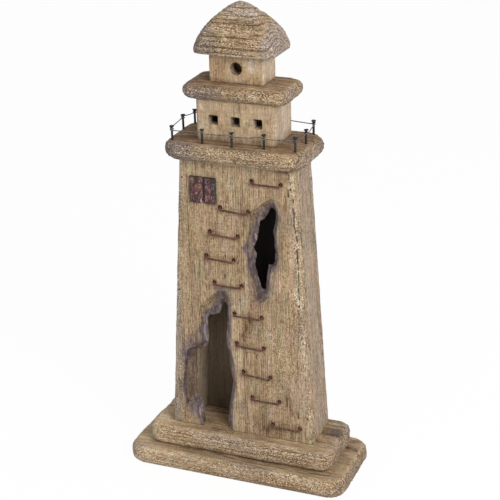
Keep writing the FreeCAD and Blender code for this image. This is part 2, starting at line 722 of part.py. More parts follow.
def window_cutter(column):
    tool = doc.addObject("Part::Box", "window_cutter")
    bind(tool, "Length", size("windowSize"))
    bind(tool, "Height", size("windowSize"))
    bind(tool, "Width", size("roomWall") + overshoot * 2)
    x = house_x + size("windowSpacing") * column - size("windowSize") / 2
    return place(tool, x, room_y - size("roomDepth") / 2 - overshoot, walk_z + size("windowSill"))


watch_front, watch_back, watch_left, watch_right = room("watch_room", "room", house_x, room_y, walk_z)
keep(cut("watch_room_front_board", watch_front, [window_cutter(column) for column in (-1, 0, 1)]))
keep(watch_back)
keep(cut("watch_room_left_board", watch_left, [watch_room_drills[0], upper_deck_drills[0]]))
keep(cut("watch_room_right_board", watch_right, [watch_room_drills[1], upper_deck_drills[1]]))
keep(watch_room_dowels)

upper_deck = slab("upper_deck", "upperDeck", size("upperDeckEdgeRadius"), house_x, Size(0), upper_deck_z)
keep(cut("upper_deck", upper_deck, upper_deck_drills + lantern_drills))
keep(upper_deck_dowels)

lantern_front, lantern_back, lantern_left, lantern_right = room(
    "lantern_room", "lantern", lantern_x, lantern_y, lantern_z)
porthole_front_y = lantern_y - size("lanternDepth") / 2 - overshoot
porthole = cylinder(
    "porthole_cutter", size("portholeDiameter"), size("lanternWall") + overshoot * 2,
    lantern_x, porthole_front_y, lantern_z + size("portholeHeight"), INTO_FRONT)
keep(cut("lantern_room_front_board", lantern_front, [porthole]))
keep(lantern_back)
keep(cut("lantern_room_left_board", lantern_left, [lantern_drills[0], roof_drills[0]]))
keep(cut("lantern_room_right_board", lantern_right, [lantern_drills[1], roof_drills[1]]))
keep(lantern_dowels)


# ---- the roof: a block carved to a soft, four-sided point --------------------------------------------

# The outline's width at each level is the share (1 - level ^ bulge) ^ (1 / point) of the whole.
ROOF_LEVELS = (0.08, 0.2, 0.34, 0.48, 0.62, 0.74, 0.84, 0.92, 0.97, 1)
ROOF_BULGE, ROOF_POINT = 1.73, 1.45
ROOF_TIP, ROOF_CORNER_SHARE = 0.045, 0.45


def rounded_rectangle(width, depth, corner, z):
    """A closed outline of straight sides and quarter-circle corners at the height z."""
    half_x, half_y = width / 2 - corner, depth / 2 - corner
    centres = [(half_x, half_y), (-half_x, half_y), (-half_x, -half_y), (half_x, -half_y)]
    arcs = []
    for quarter, (x, y) in enumerate(centres):
        angles = [radians(90 * quarter + turn) for turn in (0, 45, 90)]
        arcs.append([Vector(x + corner * cos(angle), y + corner * sin(angle), z) for angle in angles])
    edges = []
    for arc, following in zip(arcs, arcs[1:] + arcs[:1]):
        edges.append(Part.Arc(*arc).toShape())
        edges.append(Part.LineSegment(arc[-1], following[0]).toShape())
    return Part.Wire(edges)


def roof_shape():
    width, depth = size("roofWidth").number, size("roofDepth").number
    rim, corner = size("roofRim").number, size("roofCorner").number
    rings = [rounded_rectangle(width - 2 * rim, depth - 2 * rim, corner, 0)]
    for level in ROOF_LEVELS:
        share = max((1 - level ** ROOF_BULGE) ** (1 / ROOF_POINT), ROOF_TIP)
        rounding = min(corner, ROOF_CORNER_SHARE * depth * share)
        height = size("roofHeight").number * level
        rings.append(rounded_rectangle(width * share, depth * share, rounding, height))
    return Part.makeLoft(rings, True, False)


roof = doc.addObject("Part::Feature", "roof_block")
roof.Shape = roof_shape()
place(roof, lantern_x, lantern_y, roof_z)
keep(cut("roof", roof, roof_drills))
keep(roof_dowels)


# ---- check every piece, and write each to a file of its own ------------------------------------------

doc.recompute()
for thing in doc.Objects:
    if {"Invalid", "Error"} & set(thing.State):
        raise RuntimeError(f"{thing.Label} did not build: {thing.State}")
labels = [piece.Label for piece in pieces]
if len(set(labels)) != len(labels):
    raise RuntimeError("two pieces share a name")
os.makedirs("parts", exist_ok=True)
for piece in pieces:
    shape = piece.Shape
    if shape.isNull() or not shape.isValid() or not shape.Solids:
        raise RuntimeError(f"{piece.Label} has no valid solid")
    shape.exportStep(f"parts/{piece.Label}.step")
    print(f"{piece.Label}: {len(shape.Solids)} solids, {shape.Volume / 1000:.2f} cm3")
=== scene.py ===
"""Looks of the garden lighthouse ornament: weathered, sand-blasted wood, rusty rungs and a wired gallery.

Lengths in this script are millimetres until a mesh is made, and then metres as in the frame.
"""
from functools import partialmethod, reduce
from math import cos, pi, radians, sin
from typing import NamedTuple

import bmesh
import bpy
import numpy as np
from mathutils import Matrix, Vector
from mathutils.kdtree import KDTree


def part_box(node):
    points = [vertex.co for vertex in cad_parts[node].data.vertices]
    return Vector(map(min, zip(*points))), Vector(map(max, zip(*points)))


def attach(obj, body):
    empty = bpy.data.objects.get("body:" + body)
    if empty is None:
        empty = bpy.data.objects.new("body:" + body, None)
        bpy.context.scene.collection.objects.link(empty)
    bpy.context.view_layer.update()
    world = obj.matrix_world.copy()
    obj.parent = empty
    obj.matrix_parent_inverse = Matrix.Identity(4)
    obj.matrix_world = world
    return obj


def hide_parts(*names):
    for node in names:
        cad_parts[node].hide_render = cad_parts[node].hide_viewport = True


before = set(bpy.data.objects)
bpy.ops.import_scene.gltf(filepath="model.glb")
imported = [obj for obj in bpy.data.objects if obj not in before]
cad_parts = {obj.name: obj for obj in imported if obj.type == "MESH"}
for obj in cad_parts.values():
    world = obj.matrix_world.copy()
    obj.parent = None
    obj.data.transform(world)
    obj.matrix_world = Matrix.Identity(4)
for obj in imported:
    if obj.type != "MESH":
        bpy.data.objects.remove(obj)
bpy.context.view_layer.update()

MM = 0.001
ARC_STEPS = 6
scene = bpy.context.scene


def box_mm(node):
    """The lowest and highest corners of a CAD node, in millimetres."""
    low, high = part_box(node)
    return np.array(low) / MM, np.array(high) / MM


# ---- repeatable noise ----

def lattice(ix, iy, iz, seed):
    """A repeatable number from -1 to 1 for each whole point."""
    key = ix * 374761393 + iy * 668265263 + iz * 1274126177 + seed * 974634777
    key = key.astype(np.uint64) & np.uint64(0xFFFFFFFF)
    for shift, factor in ((13, 1274126177), (15, 2246822519)):
        key = ((key ^ (key >> np.uint64(shift))) * np.uint64(factor)) & np.uint64(0xFFFFFFFF)
    return ((key ^ (key >> np.uint64(16))) & np.uint64(0xFFFF)).astype(float) / 32767.5 - 1


def noise(points, sizes, seed):
    """Smooth noise from -1 to 1 whose features have the given sizes along x, y and z."""
    scaled = np.asarray(points, float) / np.asarray(sizes, float) + seed * 17.31
    base = np.floor(scaled).astype(np.int64)
    part = scaled - base
    part = part * part * (3 - 2 * part)
    total = 0
    for corner in range(8):
        step = [corner & 1, corner >> 1 & 1, corner >> 2 & 1]
        weight = 1
        for axis in range(3):
            weight = weight * (part[:, axis] if step[axis] else 1 - part[:, axis])
        total = total + weight * lattice(*(base + step).T, seed)
    return total


def unit(value):
    return np.clip(value, 0, 1)


def most(*values):
    return reduce(np.maximum, values)


def rise(value, low, high):
    """0 below low, 1 above high, and a smooth rise between them."""
    share = unit((value - low) / (high - low))
    return share * share * (3 - 2 * share)


def fall(value, low, high):
    return 1 - rise(value, low, high)


# ---- meshes ----

def linked(name, mesh):
    thing = bpy.data.objects.new(name, mesh)
    scene.collection.objects.link(thing)
    return thing


def lofted(name, rings):
    """A closed skin over rings of equally many points, with a flat cap at each end."""
    count = len(rings[0])
    faces = [list(range(count))[::-1]]
    for level in range(len(rings) - 1):
        low, high = level * count, (level + 1) * count
        for index in range(count):
            following = (index + 1) % count
            faces.append([low + index, low + following, high + following, high + index])
    faces.append([(len(rings) - 1) * count + index for index in range(count)])
    mesh = bpy.data.meshes.new(name)
    mesh.from_pydata([tuple(point) for point in np.concatenate(rings) * MM], [], faces)
    mesh.update()
    return linked(name, mesh)


def join(things):
    """Puts the meshes of things into the first of them."""
    shell = bmesh.new()
    for thing in things:
        shell.from_mesh(thing.data)
    shell.to_mesh(things[0].data)
    for thing in things[1:]:
        bpy.data.objects.remove(thing)
    return things[0]


def applied(thing):
    """Makes the result of the thing's modifiers its own mesh."""
    bpy.context.view_layer.update()
    graph = bpy.context.evaluated_depsgraph_get()
    mesh = bpy.data.meshes.new_from_object(thing.evaluated_get(graph))
    thing.modifiers.clear()
    old, thing.data = thing.data, mesh
    bpy.data.meshes.remove(old)
    return thing


def remeshed(thing, voxel):
    change = thing.modifiers.new("even", "REMESH")
    change.mode = "VOXEL"
    change.voxel_size = voxel * MM
    return applied(thing)


def without(thing, tools):
    """Takes the tools out of a board; the faces of the cuts get a dark material, painted shadow for the
    holes.
    """
    tool = join(tools)
    for mesh in (thing.data, tool.data):
        mesh.materials.append(BOARD)
        mesh.materials.append(HOLE_SHADOW)
    for polygon in tool.data.polygons:
        polygon.material_index = 1
    change = thing.modifiers.new("cut", "BOOLEAN")
    change.operation = "DIFFERENCE"
    change.solver = "MANIFOLD"
    change.object = tool
    applied(thing)
    bpy.data.objects.remove(tool)
    shell = bmesh.new()
    shell.from_mesh(thing.data)
    bmesh.ops.triangulate(shell, faces=shell.faces[:])
    # A cut that passes close to a point can leave two triangles folded on each other: both go.
    sharing = {}
    for face in shell.faces:
        sharing.setdefault(frozenset(corner.index for corner in face.verts), []).append(face)
    folded = [face for faces in sharing.values() if len(faces) > 1 for face in faces]
    bmesh.ops.delete(shell, geom=folded, context="FACES")
    shell.to_mesh(thing.data)


def copied(node):
    """A new object with a CAD node's own mesh, its seams closed."""
    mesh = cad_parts[node].data.copy()
    mesh.materials.clear()
    shell = bmesh.new()
    shell.from_mesh(mesh)
    bmesh.ops.remove_doubles(shell, verts=shell.verts, dist=1e-6)
    shell.to_mesh(mesh)
    for layer in list(mesh.uv_layers):
        mesh.uv_layers.remove(layer)
    return linked("look_" + node, mesh)


def points_of(thing):
    """The vertices and their normals, the vertices in millimetres."""
    mesh = thing.data
    points = np.zeros(len(mesh.vertices) * 3)
    mesh.vertices.foreach_get("co", points)
    normals = np.zeros(len(mesh.vertices) * 3)
    mesh.vertex_normals.foreach_get("vector", normals)
    return points.reshape(-1, 3) / MM, normals.reshape(-1, 3)


def set_points(thing, points):
    thing.data.vertices.foreach_set("co", (points * MM).ravel())
    thing.data.update()


def set_layers(thing, **layers):
    """Stores a number for each of the thing's points under each name."""
    for name, values in layers.items():
        layer = thing.data.attributes.new(name, "FLOAT", "POINT")
        values = np.broadcast_to(values, len(thing.data.vertices))
        layer.data.foreach_set("value", np.ascontiguousarray(values, np.float32))


def pins(places, y, profile, sides=12):
    """Turned pieces along y, one at each (x, z); profile is a list of (radius, distance from y)."""
    angles = [2 * pi * index / sides for index in range(sides)]
    return [lofted("pin", [[(x + radius * cos(angle), y + along, z - radius * sin(angle)) for angle in angles]
                           for radius, along in profile])
            for x, z in places]


def tube(name, line, radius, sides, lumps, seed):
    """A wire along a line of points, a little uneven in thickness, with frames that don't twist."""
    ways = np.gradient(line, axis=0)
    ways /= np.linalg.norm(ways, axis=1)[:, None]
    side = np.cross(ways[0], (0.3, 0.2, 1))
    angles = np.arange(sides) * 2 * pi / sides
    rings = []
    for point, way, swell in zip(line, ways, 1 + lumps * noise(line, (2.5, 2.5, 2.5), seed)):
        side = side - way * side.dot(way)
        side /= np.linalg.norm(side)
        other = np.cross(way, side)
        circle = np.outer(np.cos(angles), side) + np.outer(np.sin(angles), other)
        rings.append(point + radius * swell * circle)
    return lofted(name, rings)


def smooth_line(points, steps):
    """A Catmull-Rom line through the points."""
    points = np.asarray(points, float)
    padded = np.vstack([2 * points[0] - points[1], points, 2 * points[-1] - points[-2]])
    line = []
    for a, b, c, d in zip(padded, padded[1:], padded[2:], padded[3:]):
        for step in range(steps):
            t = step / steps
            line.append(0.5 * (2 * b + (c - a) * t + (2 * a - 5 * b + 4 * c - d) * t ** 2
                               + (3 * b - a - 3 * c + d) * t ** 3))
    line.append(points[-1])
    return np.array(line)


def rounded_outline(half_x, half_y, corner):
    """Points round a rectangle with rounded corners, about the origin."""
    outline = []
    for quarter, (sign_x, sign_y) in enumerate(((1, 1), (-1, 1), (-1, -1), (1, -1))):
        for step in range(ARC_STEPS + 1):
            angle = pi / 2 * (quarter + step / ARC_STEPS)
            outline.append((sign_x * (half_x - corner) + corner * cos(angle),
                            sign_y * (half_y - corner) + corner * sin(angle)))
    return outline


def finished(thing, material, node):
    """Smooths the piece, and puts it in the place of its node."""
    for polygon in thing.data.polygons:
        polygon.use_smooth = True
    if not thing.data.materials:
        thing.data.materials.append(material)
    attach(thing, "root")
    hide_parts(node)


# ---- weathered wood: relief and colour layers ----

def stretch(axis, along, across):
    """Sizes along x, y and z of a form that is drawn out along the fibres."""
    return (along, across, across) if axis == 0 else (across, across, along)


class Wood(NamedTuple):
    """How one piece was cut from its log, and how rough it is."""

    axis: int  # 0 where the fibres run along x, and 2 where they run along z
    pith: tuple  # the log's middle, in the two directions across the fibres
    spacing: float
    seed: int
    ridges: float  # how deep the surface is worn between the rings, then between fibres, and so on
    fibres: float
    pits: float
    chips: float
    warp: float = 1.0
    knots: tuple = ()  # (x, y, z, size, push)

    def noise(self, points, along, across, layer):
        return noise(points, stretch(self.axis, along, across), self.seed + layer)

    def grain(self, points, along, across, layer):
        return 0.5 + 0.5 * self.noise(points, along, across, layer)

    def rings(self, points):
        """How many growth rings lie between the log's pith and each point."""
        x, y, z = points.T
        first, second = (y, z) if self.axis == 0 else (x, y)
        radius = np.hypot(first - self.pith[0], second - self.pith[1])
        bends = (3.2 * self.noise(points, 90, 26, 0) + 1.1 * self.noise(points, 34, 9, 1)
                 + 0.35 * self.noise(points, 16, 3.5, 2))
        radius = radius + self.warp * bends
        for x, y, z, size, push in self.knots:
            away = (points - (x, y, z)) / stretch(self.axis, 2.4 * size, size)
            radius = radius + push * np.exp(-(away ** 2).sum(axis=1))
        return radius / self.spacing


def weather(thing, wood, rim, still):
    """Wears the surface down along its grain, and stores what the material needs to know of it.

    rim, a number or a function, is 0 on protected flats and 1 on exposed edges; still is 1 where the
    surface must stay. The points and normals from before the wear are returned.
    """
    points, normals = points_of(thing)
    rim = rim(points, normals) if callable(rim) else np.full(len(points), rim)
    rings = wood.rings(points)
    number = np.floor(rings).astype(np.int64)
    bold = 0.5 + 0.5 * lattice(number, number * 0 + wood.seed, number * 0, wood.seed)
    through = rings - np.floor(rings)
    ridge = rise(through, 0.35, 0.8) * fall(through, 0.86, 1.0) * (0.35 + 0.65 * bold)
    fibre, cells = wood.grain(points, 16, 1.7, 3), wood.grain(points, 2.4, 2.4, 4)
    coarse, wave = wood.grain(points, 9, 4.2, 5), wood.grain(points, 22, 12, 6)
    depth = (wood.ridges * (1 - ridge) + wood.fibres * (1 - fibre)) * (0.5 + 0.5 * rim)
    depth += (wood.pits * rim * fall(cells, 0.25, 0.75)
              + wood.chips * rim * (0.6 * (1 - coarse) + 0.7 * (1 - wave)))
    depth *= 1 - still(points, normals)
    set_points(thing, points - normals * depth[:, None])
    set_layers(thing, rings=rings, rim=rim)
    return points, normals


# ---- materials ----

def shade(*levels):
    """A colour given as sRGB levels from 0 to 255."""
    return tuple(level / 255 / 12.92 if level <= 10 else ((level / 255 + 0.055) / 1.055) ** 2.4
                 for level in levels) + (1,)


class Graph:
    """The nodes of a material or a world, built by calls that return sockets."""

    def __init__(self, owner):
        self.owner = owner
        owner.use_nodes = True
        self.tree = owner.node_tree
        self.tree.nodes.clear()

    def node(self, kind, inputs=(), **settings):
        made = self.tree.nodes.new("ShaderNode" + kind)
        for key, value in settings.items():
            setattr(made, key, value)
        for key, value in dict(inputs).items():
            self.feed(made.inputs[key], value)
        return made

    def feed(self, socket, value):
        if isinstance(value, bpy.types.NodeSocket):
            self.tree.links.new(value, socket)
        else:
            socket.default_value = value

    def math(self, operation, first, second=0.0, clamp=False):
        return self.node("Math", {0: first, 1: second}, operation=operation, use_clamp=clamp).outputs[0]

    add = partialmethod(math, "ADD")
    less = partialmethod(math, "SUBTRACT")
    times = partialmethod(math, "MULTIPLY")

    def swing(self, value, amount):
        """How far value lies from its middle, 0.5, times amount."""
        return self.times(self.less(value, 0.5), amount)

    def span(self, value, low, high, to_low=0.0, to_high=1.0):
        """value carried from low..high to to_low..to_high, held at the ends."""
        ends = {"From Min": low, "From Max": high, "To Min": to_low, "To Max": to_high}
        made = self.node("MapRange", {"Value": value, **ends}, interpolation_type="SMOOTHSTEP")
        return made.outputs["Result"]

    def mix(self, share, first, second):
        made = self.node("Mix", data_type="RGBA")
        for index, value in ((0, share), (6, first), (7, second)):
            self.feed(made.inputs[index], value)
        return made.outputs[2]

    def layer(self, name):
        return self.node("Attribute", attribute_name=name).outputs["Fac"]

    def noise(self, sizes, detail=2.0, roughness=0.55, shift=0.0):
        """Noise whose features have the given sizes in millimetres along x, y and z."""
        where = self.node("TexCoord").outputs["Object"]
        scale = tuple(1 / (size * MM) for size in sizes)
        where = self.node("Mapping", {"Vector": where, "Scale": scale}).outputs["Vector"]
        if shift:
            where = self.node("VectorMath", {0: where, 1: (shift, shift * 0.7, -shift)}).outputs[0]
        settings = {"Vector": where, "Scale": 1.0, "Detail": detail, "Roughness": roughness}
        return self.node("TexNoise", settings).outputs["Fac"]

    def ramp(self, value, stops):
        """The colours of the stops, (position, sRGB levels), chosen by value."""
        made = self.node("ValToRGB", {"Fac": value})
        elements = made.color_ramp.elements
        while len(elements) < len(stops):
            elements.new(0.5)
        for element, (position, levels) in zip(elements, stops):
            element.position, element.color = position, shade(*levels)
        return made.outputs["Color"]

    def palette(self, value, colours):
        return self.ramp(value, [(0.25 * index, levels) for index, levels in enumerate(colours)])

    def output(self, shader, kind="OutputMaterial"):
        self.node(kind, {"Surface": shader})
        return self.owner

    def surface(self, colour, roughness, height=None, distance=0.4, strength=1.0, **extra):
        """A plain glossy or dull surface; height makes bumps, distance millimetres high."""
        shader = self.node("BsdfPrincipled", {"Base Color": colour, "Roughness": roughness, **extra})
        if height is not None:
            bump = self.node("Bump", {"Height": height, "Distance": distance * MM, "Strength": strength})
            self.feed(shader.inputs["Normal"], bump.outputs["Normal"])
        return self.output(shader.outputs[0])


def new_graph(name):
    return Graph(bpy.data.materials.new(name))


# Colours from dark to light.
TAN = ((72, 50, 28), (116, 93, 64), (158, 135, 104), (191, 169, 138), (226, 208, 182))
GREY = ((72, 58, 50), (103, 89, 79), (138, 123, 112), (170, 156, 145), (214, 204, 196))
GOLD = ((74, 48, 24), (118, 90, 60), (156, 128, 95), (186, 159, 124), (214, 192, 158))
ROSE = ((78, 50, 34), (124, 94, 72), (166, 136, 113), (197, 170, 146), (228, 208, 190))
OLIVE = ((64, 54, 30), (108, 95, 64), (150, 138, 102), (184, 173, 138), (220, 212, 184))
PURPLE = ((50, 40, 40), (79, 68, 67), (110, 98, 96), (145, 132, 131), (188, 178, 179))
PLUM = ((50, 36, 37), (84, 66, 68), (118, 98, 99), (150, 132, 134), (188, 175, 178))
MAROON = ((32, 13, 11), (68, 36, 31), (102, 62, 54), (136, 96, 88), (184, 154, 150))
VIOLET = ((34, 15, 20), (68, 41, 48), (102, 72, 81), (142, 114, 124), (190, 166, 174))
UMBER = ((32, 21, 12), (70, 49, 34), (104, 79, 58), (138, 112, 88), (178, 156, 134))
# The pale colour is for painted highlights and torn fibres on the broken edges' lips.
RUST_BROWN, TORN_AND_HIGHLIGHT_PALE, CRACK_DARK = shade(112, 66, 48), shade(176, 166, 166), shade(42, 30, 21)
# Painted shade for the inside of the hollow tower: a brown veil, and near black deeper in.
INSIDE_SHADE_BROWN, HOLLOW_SHADE_DARK = shade(92, 76, 57), shade(20, 16, 11)


def wood_material(name, axis, shift, fibre=1.15, strand=0.45, line=0.26, dash=0.32, cross=0.3,
                  patch=0.35, mottle=0.35, speck=2.4, spark=0.35, tone=0.5, gold=0.35, grey=0.28,
                  hues=0.5, hue_size=(8, 3.6)):
    """Dry wood: one tone made of fibres, strands, growth rings, pits and flecks, seen through coloured ramps.

    The piece's layers add to what the material does by itself: tone is lighter or darker, in places painted
    light or shade; gold, grey and stain choose between the ramps, fleck is specks, and rust, the lip's
    painted highlights and pale torn fibres, crack, and the hollow's painted shade lie over it.
    """
    g = new_graph(name)

    def grain(along, across, moved, detail=2.0, roughness=0.6):
        return g.noise(stretch(axis, along, across), detail, roughness, shift + moved)

    rings, rim, lip = g.layer("rings"), g.layer("rim"), g.layer("lip")
    number = g.math("FLOOR", rings)
    bold = g.node("TexWhiteNoise", {"W": number}, noise_dimensions="1D").outputs["Value"]
    through = g.math("FRACT", rings)
    lines = g.times(g.span(through, 0.5, 0.8), g.span(through, 0.98, 0.88))
    lines = g.times(lines, g.span(bold, 0.1, 0.9, 0.2, 1.0))
    lines = g.times(lines, g.span(grain(14, 3, 31), 0.36, 0.58, 0.25, 1.0))
    fibres = grain(11, 0.8, 0, 3.0, 0.65)
    flecks = grain(1.7, 0.95, 1.9, 3.0, 0.7)
    sparks = grain(1.5, 1.1, 61, 1.0, 0.5)
    tints = grain(10, 2.2, 51)
    warmth = grain(*hue_size, 81)
    pit = g.span(grain(4.5, 0.9, 3.1), 0.38, 0.3)

    value = g.add(g.layer("tone"), tone)
    for swinging, amount in ((fibres, fibre), (grain(50, 4, 21, 3.0), strand),
                             (grain(45, 15, 7.7, 3.0, 0.55), patch), (grain(2.2, 9, 41, 2.0, 0.55), cross),
                             (grain(3.6, 2.1, 71), mottle)):
        value = g.add(value, g.swing(swinging, amount))
    value = g.less(g.less(value, g.times(lines, line)), g.times(pit, dash))
    crowded = g.times(rim, g.span(grain(20, 8, 5.2, 3.0), 0.36, 0.62, 0.35, 1.0))
    crowded = g.add(crowded, g.layer("fleck"))
    value = g.add(value, g.times(g.swing(flecks, speck), crowded))
    value = g.add(value, g.times(g.span(sparks, 0.6, 0.7, 0.0, spark), crowded))
    value = g.less(value, g.times(g.span(sparks, 0.4, 0.3, 0.0, spark), crowded))
    # The lip layer lightens: painted highlights, with pale torn fibres, on the broken edges.
    value = g.add(value, g.times(lip, 0.3))

    gilt = g.add(g.times(g.span(grain(60, 16, 12.3, 3.0), 0.42, 0.64), gold), g.layer("gold"))
    gilt = g.add(gilt, g.swing(g.span(tints, 0.4, 0.6), 0.45), clamp=True)
    cooled = g.add(g.times(g.span(grain(34, 11, 16.3, 3.0), 0.45, 0.68), grey), g.layer("grey"), clamp=True)
    dyed = g.add(g.times(value, 0.6), g.add(g.swing(grain(9, 3.6, 4.4, 3.0), 1.2), 0.11))
    dye = g.mix(g.span(tints, 0.45, 0.6), g.palette(dyed, PURPLE), g.palette(dyed, PLUM))
    colour = g.palette(value, TAN)
    for share, over in (
            (gilt, g.palette(value, GOLD)),
            (g.span(warmth, 0.53, 0.66, 0.0, hues), g.palette(value, ROSE)),
            (g.span(warmth, 0.47, 0.35, 0.0, hues), g.palette(value, OLIVE)),
            (cooled, g.palette(value, GREY)), (g.layer("stain"), dye),
            (g.times(g.layer("rust"), 0.5), RUST_BROWN),
            # The lip: painted highlights, with pale torn fibres.
            (g.times(lip, 0.55), TORN_AND_HIGHLIGHT_PALE), (g.layer("crack"), CRACK_DARK),
            # Painted shade of the hollow's inner faces.
            (g.layer("inside"), INSIDE_SHADE_BROWN), (g.layer("hollow_shade"), HOLLOW_SHADE_DARK)):
        colour = g.mix(share, colour, over)
    height = g.less(g.add(g.times(fibres, 0.6), g.times(lines, -0.25)), g.times(pit, 0.35))
    height = g.add(height, g.times(flecks, g.times(rim, 0.9)))
    return g.surface(colour, 0.86, height, 0.6, 0.8)


def metal_material(name, dark, middle, pale, size, roughness, metallic, shift=0.0):
    g = new_graph(name)
    blots = g.noise((size, size, size), 3.0, 0.6, shift)
    fine = g.noise((size * 0.3,) * 3, 2.0, 0.6, shift + 2)
    value = g.add(g.times(blots, 0.7), g.times(fine, 0.3))
    colour = g.ramp(value, [(0.34, dark), (0.5, middle), (0.68, pale)])
    return g.surface(colour, roughness, fine, 0.15, 0.8, Metallic=metallic)


def paint_material():
    """Worn maroon paint in red, violet and umber blots, with pale flecks in it."""
    g = new_graph("worn maroon paint")
    flecks = g.noise((1.3, 1.3, 2.2), 3.0, 0.7, 3.3)
    hues = g.noise((5, 5, 9), 2.0, 0.6, 12.7)
    value = g.add(g.layer("tone"), 0.35)
    for swinging, amount in ((g.noise((1.5, 1.5, 5), 3.0, 0.65), 1.3), (flecks, 2.0),
                             (g.noise((4, 4, 6), 2.0, 0.55, 6.1), 0.9)):
        value = g.add(value, g.swing(swinging, amount))
    colour = g.mix(g.span(hues, 0.5, 0.6), g.palette(value, MAROON), g.palette(value, VIOLET))
    colour = g.mix(g.span(hues, 0.44, 0.36), colour, g.palette(value, UMBER))
    cool = g.ramp(value, [(0.2, (36, 34, 32)), (0.5, (84, 80, 74)), (0.8, (164, 156, 156))])
    return g.surface(g.mix(g.layer("grey"), colour, cool), 0.7, flecks, 0.35, 0.7)


# Painted shadow: near-black brown for the insides of the drilled holes.
def hole_shadow_material():
    g = new_graph("hole shadow")
    return g.surface(g.mix(g.noise((0.8, 0.8, 0.8)), shade(24, 15, 9), shade(46, 28, 16)), 0.95)


BOARD = wood_material("board wood", 2, 0.0, fibre=0.82, strand=0.48, dash=0.45, patch=0.22, mottle=0.45,
                      speck=3.0, tone=0.455, hues=0.7, hue_size=(30, 7))
SLAB = wood_material("slab wood", 0, 20.0, fibre=1.0, strand=0.5, line=0.3, cross=0.0, patch=0.45, speck=3.3,
                     spark=0.45, tone=0.44)
ROOF = wood_material("roof wood", 0, 40.0, fibre=1.3, strand=0.6, line=0.5, cross=0.0, speck=3.0, spark=0.45,
                     tone=0.41)
ROOM = wood_material("room wood", 2, 60.0, fibre=0.8, strand=0.3, line=0.14, dash=0.2, gold=0.5, grey=0.1)
IRON = metal_material("blackened nails", (20, 19, 19), (38, 37, 37), (84, 82, 80), 1.6, 0.55, 0.5)
RUST = metal_material("rusty wire", (44, 26, 20), (88, 55, 44), (130, 88, 70), 2.2, 0.85, 0.15, 5.0)
STEEL = metal_material("dull wire", (62, 61, 60), (104, 103, 101), (160, 158, 155), 2.5, 0.42, 0.75, 9.0)
DOWEL = wood_material("dowel wood", 2, 95.0, speck=0.0)
PAINT = paint_material()
HOLE_SHADOW = hole_shadow_material()


# ---- measures of the tower, and places on it ----

tower_low, tower_high = box_mm("tower_front_board")
back_low, back_high = box_mm("tower_back_board")
FRONT_Y, FRONT_INNER_Y, BACK_INNER_Y, BACK_Y = tower_low[1], tower_high[1], back_low[1], back_high[1]
TOWER_X, FOOT_HALF, TOP_HALF = 2.5, 80.5, 61.25
FOOT_Z, TOWER_HEIGHT = 46, 300.5
EDGE_RADIUS = 5
TOWER_FOOT = (tower_low[0], tower_high[0], FRONT_Y, BACK_Y)
TOWER_TOP = (TOWER_X - TOP_HALF, TOWER_X + TOP_HALF, FRONT_Y, BACK_Y)


def half_width(z):
    return FOOT_HALF - (z - FOOT_Z) / TOWER_HEIGHT * (FOOT_HALF - TOP_HALF)


def foot(*nodes):
    """The box (x0, x1, y0, y1) on which the nodes stand."""
    low = np.min([box_mm(node)[0] for node in nodes], axis=0)
    high = np.max([box_mm(node)[1] for node in nodes], axis=0)
    return low[0], high[0], low[1], high[1]


ROOM_FOOT = foot("watch_room_front_board", "watch_room_back_board")
LANTERN_FOOT = foot("lantern_room_front_board", "lantern_room_back_board")


# ---- slabs: the plinths, the gallery and the upper deck ----

def outside(points, box):
    """How far each point lies outside a box (x0, x1, y0, y1): across, and deep."""
    x0, x1, y0, y1 = box
    x, y, _ = points.T
    return most(x0 - x, x - x1, 0), most(y0 - y, y - y1, 0)


def slab(node, corner, rim_radius, wood, voxel, feet, painted):
    """A plank with rounded corners and rims; feet are boxes (x0, x1, y0, y1) that stand on it or carry it.

    painted(points, normals) gives the layers grey, gold and tone as they are away from the feet.
    """
    low, high = box_mm(node)
    half, centre = (high - low) / 2, (high + low) / 2
    rings = []
    for side in (-1, 1):
        for step in range(ARC_STEPS + 1):
            angle = pi / 2 * (step if side < 0 else ARC_STEPS - step) / ARC_STEPS
            inset = rim_radius * (1 - sin(angle))
            level = side * (half[2] - rim_radius * (1 - cos(angle)))
            ring = rounded_outline(half[0] - inset, half[1] - inset, corner - inset)
            rings.append([(centre[0] + x, centre[1] + y, centre[2] + level) for x, y in ring])
    thing = remeshed(lofted("look_" + node, rings), voxel)

    def still(points, normals):
        held = (points[:, 2] < 0.8) if low[2] < 1 else np.zeros(len(points))
        for box in feet:
            across, deep = outside(points, box)
            held = most(held, (across < 1) & (deep < 1) & (np.abs(normals[:, 2]) > 0.95))
        return held

    points, normals = weather(thing, wood, lambda p, n: 1 - 0.7 * rise(np.abs(n[:, 2]), 0.86, 0.985), still)
    near = np.zeros(len(points))
    for box in feet:
        away = np.hypot(*outside(points, box))
        near = most(near, fall(away + 3 * noise(points, (9, 9, 9), 3), 2, 9))
    near = near * (points[:, 2] > centre[2]) * rise(normals[:, 2], 0.5, 0.9)
    above_tower = low[2] > 300
    grey, gold, tone = painted(points, normals)
    # Round the feet the top is gilded, rusted, and painted a little darker as shade where things stand on it.
    set_layers(thing, grey=unit(grey * (1 - near)), gold=unit(most(gold, 0.75 * near)),
               tone=tone - 0.04 * near,
               rust=0.5 * near * above_tower * rise(noise(points, (8, 8, 8), 4), -0.2, 0.5))
    finished(thing, SLAB, node)


def facing(normals):
    """How much each point faces right, left and up, from 0 to 1."""
    return rise(normals[:, 0], 0.3, 0.8), rise(-normals[:, 0], 0.3, 0.8), rise(normals[:, 2], 0.6, 0.95)


